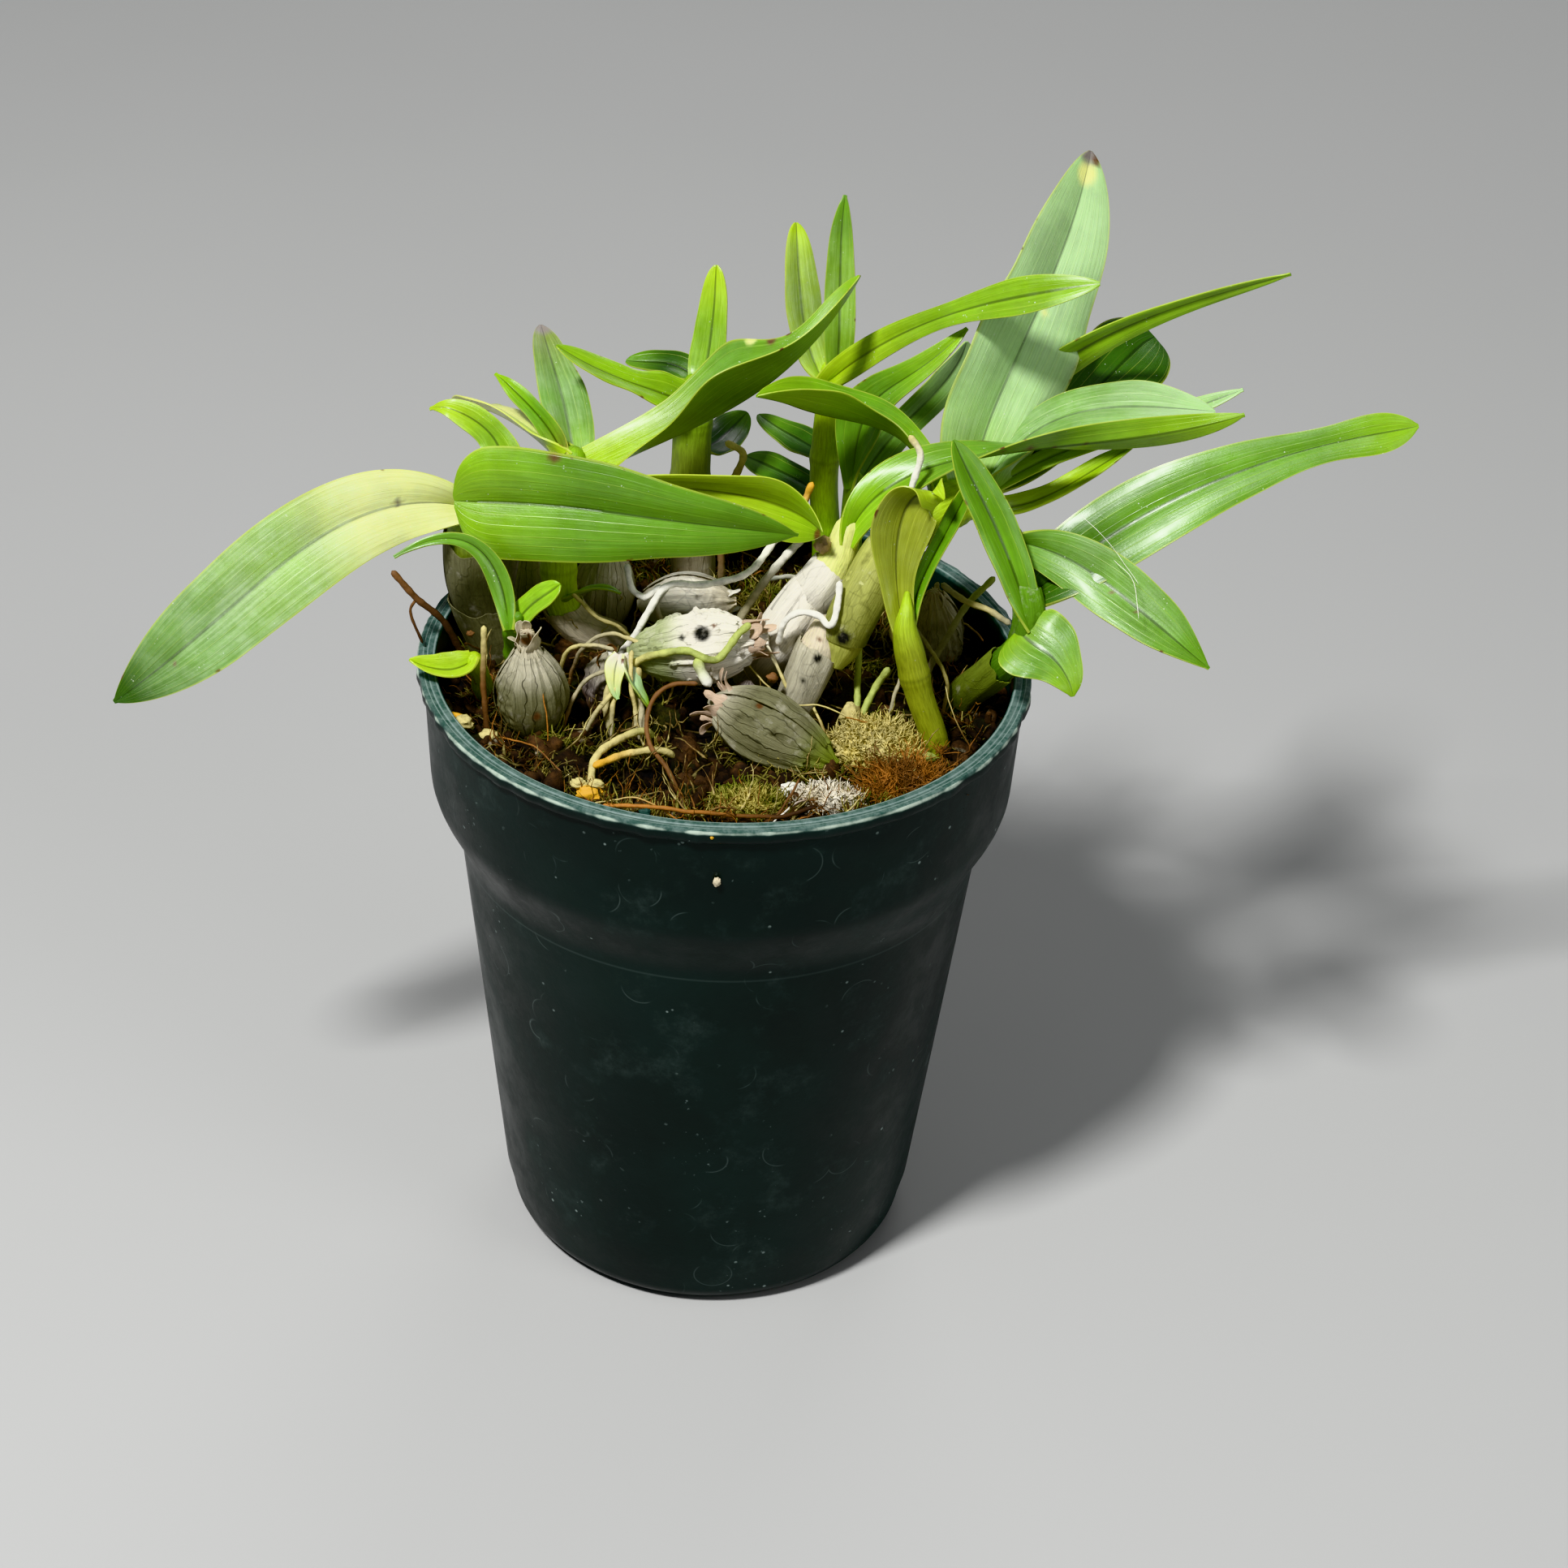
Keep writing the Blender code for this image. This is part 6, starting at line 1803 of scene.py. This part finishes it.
def make_tuft(name):
    """A lumpy mound with strands on the part that stands out of the mix."""
    centre, halves, skin, density = TUFTS[name]
    seed = len(name)
    rings = lumpy_rings(DOME_GRID, 0.02, 0.70, centre, halves, (
        (0.22, 2.3, centre), (0.16, 5.5, (seed, 0, 0)), (0.08, 12.0, (0, seed, 0))))
    settle(plain_body(name + ".mound", rings, skin, 70), node_slot(name), name)
    share, form = TUFT_STRANDS[skin]
    strew(name + ".strands", node_slot(name), rings,
          lambda x, y, z: 1.0 if z > MIX_TOP - 0.5 else 0.0, strand_tree, skin,
          {"Density": density * 1e6, "Length": sizes().strand_length * share, "Seed": seed, **form})


# Pot


def make_pot():
    """The moulded pot: up its inside, over the worn lip and down the outside."""
    outer, inner = wall_profile(0.0, 10), wall_profile(WALL, 8)
    lip_inner = RIM_RADIUS - LIP_WIDTH
    lip = [(lip_inner, -0.5), (lip_inner + 0.12, -0.15), (lip_inner + 0.4, 0.0),
           (lip_inner + 1.3, 0.0), (lip_inner + 1.55, -0.16), (lip_inner + 1.8, -0.02),
           (RIM_RADIUS - 0.6, 0.0), (RIM_RADIUS - 0.18, -0.1), (RIM_RADIUS, -0.5),
           (RIM_RADIUS, -1.6), (RIM_RADIUS - 0.2, -2.3)]
    profile = [(0.4, FLOOR), (inner[-1][0], FLOOR), *reversed(inner[1:-1]),
               (lip_inner, POT_HEIGHT - 3.0), *((radius, POT_HEIGHT + up) for radius, up in lip),
               *outer, (0.4, 0)]
    dense = [profile[0]]
    for (r0, z0), (r1, z1) in zip(profile, profile[1:]):
        pieces = max(1, int(math.hypot(r1 - r0, z1 - z0) / POT_STEP))
        dense += [(r0 + (r1 - r0) * k / pieces, z0 + (z1 - z0) * k / pieces)
                  for k in range(1, pieces + 1)]
    rings = lathe(dense, POT_SIDES)
    for place in rings.reshape(-1, 3):
        reach = math.hypot(place[0], place[1])
        if reach < EVEN_MIDDLE:
            continue
        turn = math.atan2(place[1], place[0])
        x, y = math.cos(turn), math.sin(turn)
        change = 0.10 * noise_at(x * 2, y * 2, place[2] * 0.02)
        if reach > RIM_RADIUS - 0.9 and place[2] > POT_HEIGHT - 3:
            flash = noise_at(x * 16, y * 16, 0.5) + 0.6 * noise_at(x * 45, y * 45, 2.5)
            change += 0.38 * flash - 0.15
        place[:2] *= (reach + change) / reach
    pot = plain_body("nursery_pot.moulded", rings, "pot", 38)
    for index in range(DRAIN_HOLES):
        turn = 2 * math.pi * (index + 0.5) / DRAIN_HOLES
        bpy.ops.mesh.primitive_cylinder_add(
            vertices=48, radius=DRAIN_RADIUS * MM, depth=3 * FLOOR * MM,
            location=(DRAIN_RING * math.cos(turn) * MM, DRAIN_RING * math.sin(turn) * MM,
                      FLOOR / 2 * MM))
        drill = bpy.context.object
        pot.modifiers.new("Drain hole", "BOOLEAN").object = drill
        mesh = with_modifiers(pot)
        pot.modifiers.clear()
        pot.data = mesh
        bpy.data.objects.remove(drill, do_unlink=True)
    settle(pot, "pot_plastic", "nursery_pot")


# Small things


def add_crumb(shape, centre, halves, colour, seed):
    """A jagged crumb in one colour."""
    rings = lumpy_rings(LUMP_GRID, 0.03, 0.94, centre, halves, (
        (0.35, 1.7, (seed * 3.1, 0, 0)), (0.16, 4.5, (0, seed * 2.3, 0))))
    verts, quads, tris = capped_tube(rings)
    tint = np.repeat([(*palette(colour), 1.0)], len(verts), 0)
    shape.add(verts, quads, tris, tint, np.zeros((len(verts), 3)))


def make_small_things():
    """Crumbs, fine roots, straws and hairs, which are too small for solids."""
    shape = Shape()
    for seed, (centre, halves, colour) in enumerate(CRUMBS, 1):
        add_crumb(shape, centre, halves, colour, seed)
    settle(shape.object("pale_crumbs", ["root"]), "root_white")
    make_rods("fine_roots", FINE_ROOTS, "root_white", sides=10, wobble=2.2, spacing=0.4)
    make_rods("straws", STRAWS, "dry_brown", sides=6, wobble=2.5, spacing=0.5)
    dice = random.Random(11)
    star = []
    foot = np.array(HAIR_STAR, float)
    for _ in range(16):
        lean, turn = dice.uniform(0.2, 1.3), dice.uniform(0, ANY_TURN)
        reach = dice.uniform(1.6, 3.6)
        way = np.array(way_out(lean, turn))
        star.append(Route([foot - way * 0.4, foot + way * reach * 0.6,
                           foot + way * reach + np.array([0, 0, -0.4])], 0.09, "dry coir"))
    make_rods("hair_star", star, "dry_brown", sides=4, spacing=0.5)
    make_rods("leaf_hairs", LEAF_HAIRS, "root_white", sides=4, spacing=0.6)


# Stage


def make_stage():
    """The floor, the camera, the soft surroundings and the lamps."""
    bpy.ops.mesh.primitive_plane_add(size=FLOOR_WIDTH, location=(0, 0, 0))
    floor = bpy.context.object
    floor.name = "floor"
    floor.data.materials.append(finish("floor"))
    camera_data = bpy.data.cameras.new("camera")
    camera_data.lens = CAMERA_LENS
    camera_data.sensor_width = CAMERA_SENSOR
    camera_data.clip_start = 0.01
    camera = placed("camera", camera_data)
    place = Vector(CAMERA_PLACE) * MM
    look = (Vector(CAMERA_TARGET) * MM - place).normalized()
    turn = look.to_track_quat("-Z", "Y").to_matrix().to_4x4()
    camera.matrix_world = Matrix.Translation(place) @ turn @ Matrix.Rotation(
        math.radians(CAMERA_ROLL), 4, "Z")
    bpy.context.scene.camera = camera
    bpy.context.scene.view_settings.view_transform = "Khronos PBR Neutral"
    world = bpy.data.worlds.new("soft_surroundings")
    bpy.context.scene.world = world
    world.use_nodes = True
    sky = world.node_tree.nodes["Background"]
    sky.inputs["Color"].default_value = SKY_COLOUR
    sky.inputs["Strength"].default_value = SKY_STRENGTH
    for name, place, size, power in LAMPS:
        lamp = bpy.data.lights.new(name, "AREA")
        lamp.shape = "DISK"
        lamp.size = size
        lamp.energy = power
        light = placed(name, lamp)
        light.location = place
        aim = Vector(LAMP_TARGET) - Vector(place)
        light.rotation_euler = aim.to_track_quat("-Z", "Y").to_euler()


# Operators


class ORCHID_OT_stage(bpy.types.Operator):
    """Floor, lamps and camera"""

    bl_idname = "orchid.stage"
    bl_label = "Stage"

    def execute(self, context):
        make_stage()
        return {"FINISHED"}


class ORCHID_OT_pot(bpy.types.Operator):
    """Moulded pot with its worn lip and drain holes"""

    bl_idname = "orchid.pot"
    bl_label = "Pot"

    def execute(self, context):
        make_pot()
        return {"FINISHED"}


class ORCHID_OT_mix(bpy.types.Operator):
    """Potting mix with bark crumbs, moss and coir"""

    bl_idname = "orchid.mix"
    bl_label = "Potting mix"

    def execute(self, context):
        make_mix()
        for name in TUFTS:
            make_tuft(name)
        return {"FINISHED"}


class ORCHID_OT_leafy_stems(bpy.types.Operator):
    """All stems with their leaves and sheaths"""

    bl_idname = "orchid.leafy_stems"
    bl_label = "Leafy stems"

    def execute(self, context):
        for name in GROWTHS:
            make_growth(name)
        make_bud()
        return {"FINISHED"}


class ORCHID_OT_bulbs(bpy.types.Operator):
    """Old bulbs in torn papery skins"""

    bl_idname = "orchid.bulbs"
    bl_label = "Bulbs"

    def execute(self, context):
        for name in BULBS:
            make_bulb(name)
        return {"FINISHED"}


class ORCHID_OT_roots(bpy.types.Operator):
    """Roots, twigs and fibres along their routes"""

    bl_idname = "orchid.roots"
    bl_label = "Roots"

    def execute(self, context):
        for name, routes in ROOTS.items():
            make_rods(name + ".grown", routes, node_slot(name), [name])
        return {"FINISHED"}


class ORCHID_OT_small_things(bpy.types.Operator):
    """Fine roots, straws, hairs and crumbs"""

    bl_idname = "orchid.small_things"
    bl_label = "Small things"

    def execute(self, context):
        make_small_things()
        return {"FINISHED"}


OPERATORS = (ORCHID_OT_stage, ORCHID_OT_pot, ORCHID_OT_mix, ORCHID_OT_leafy_stems,
             ORCHID_OT_bulbs, ORCHID_OT_roots, ORCHID_OT_small_things)


class ORCHID_PT_panel(bpy.types.Panel):
    """Sizes, colours and steps of the orchid"""

    bl_idname = "ORCHID_PT_panel"
    bl_label = "Potted orchid"
    bl_space_type = "VIEW_3D"
    bl_region_type = "UI"
    bl_category = "Orchid"

    def draw(self, context):
        for group in (context.scene.orchid_sizes, context.scene.orchid_palette):
            for name in group.bl_rna.properties.keys():
                if name not in ("rna_type", "name"):
                    self.layout.prop(group, name)
        for step in OPERATORS:
            self.layout.operator(step.bl_idname)


CLASSES = (OrchidPalette, OrchidSizes, *OPERATORS, ORCHID_PT_panel)


def register():
    """Adds the properties, the operators and the panel."""
    for made in CLASSES:
        bpy.utils.register_class(made)
    bpy.types.Scene.orchid_palette = PointerProperty(type=OrchidPalette)
    bpy.types.Scene.orchid_sizes = PointerProperty(type=OrchidSizes)


def unregister():
    """Takes away all that register adds."""
    del bpy.types.Scene.orchid_sizes
    del bpy.types.Scene.orchid_palette
    for made in reversed(CLASSES):
        bpy.utils.unregister_class(made)


def main():
    """Builds the whole scene and notes its size."""
    register()
    bpy.ops.orchid.stage()
    bpy.ops.orchid.pot()
    bpy.ops.orchid.mix()
    bpy.ops.orchid.leafy_stems()
    bpy.ops.orchid.bulbs()
    bpy.ops.orchid.roots()
    bpy.ops.orchid.small_things()


if __name__ == "__main__":
    main()
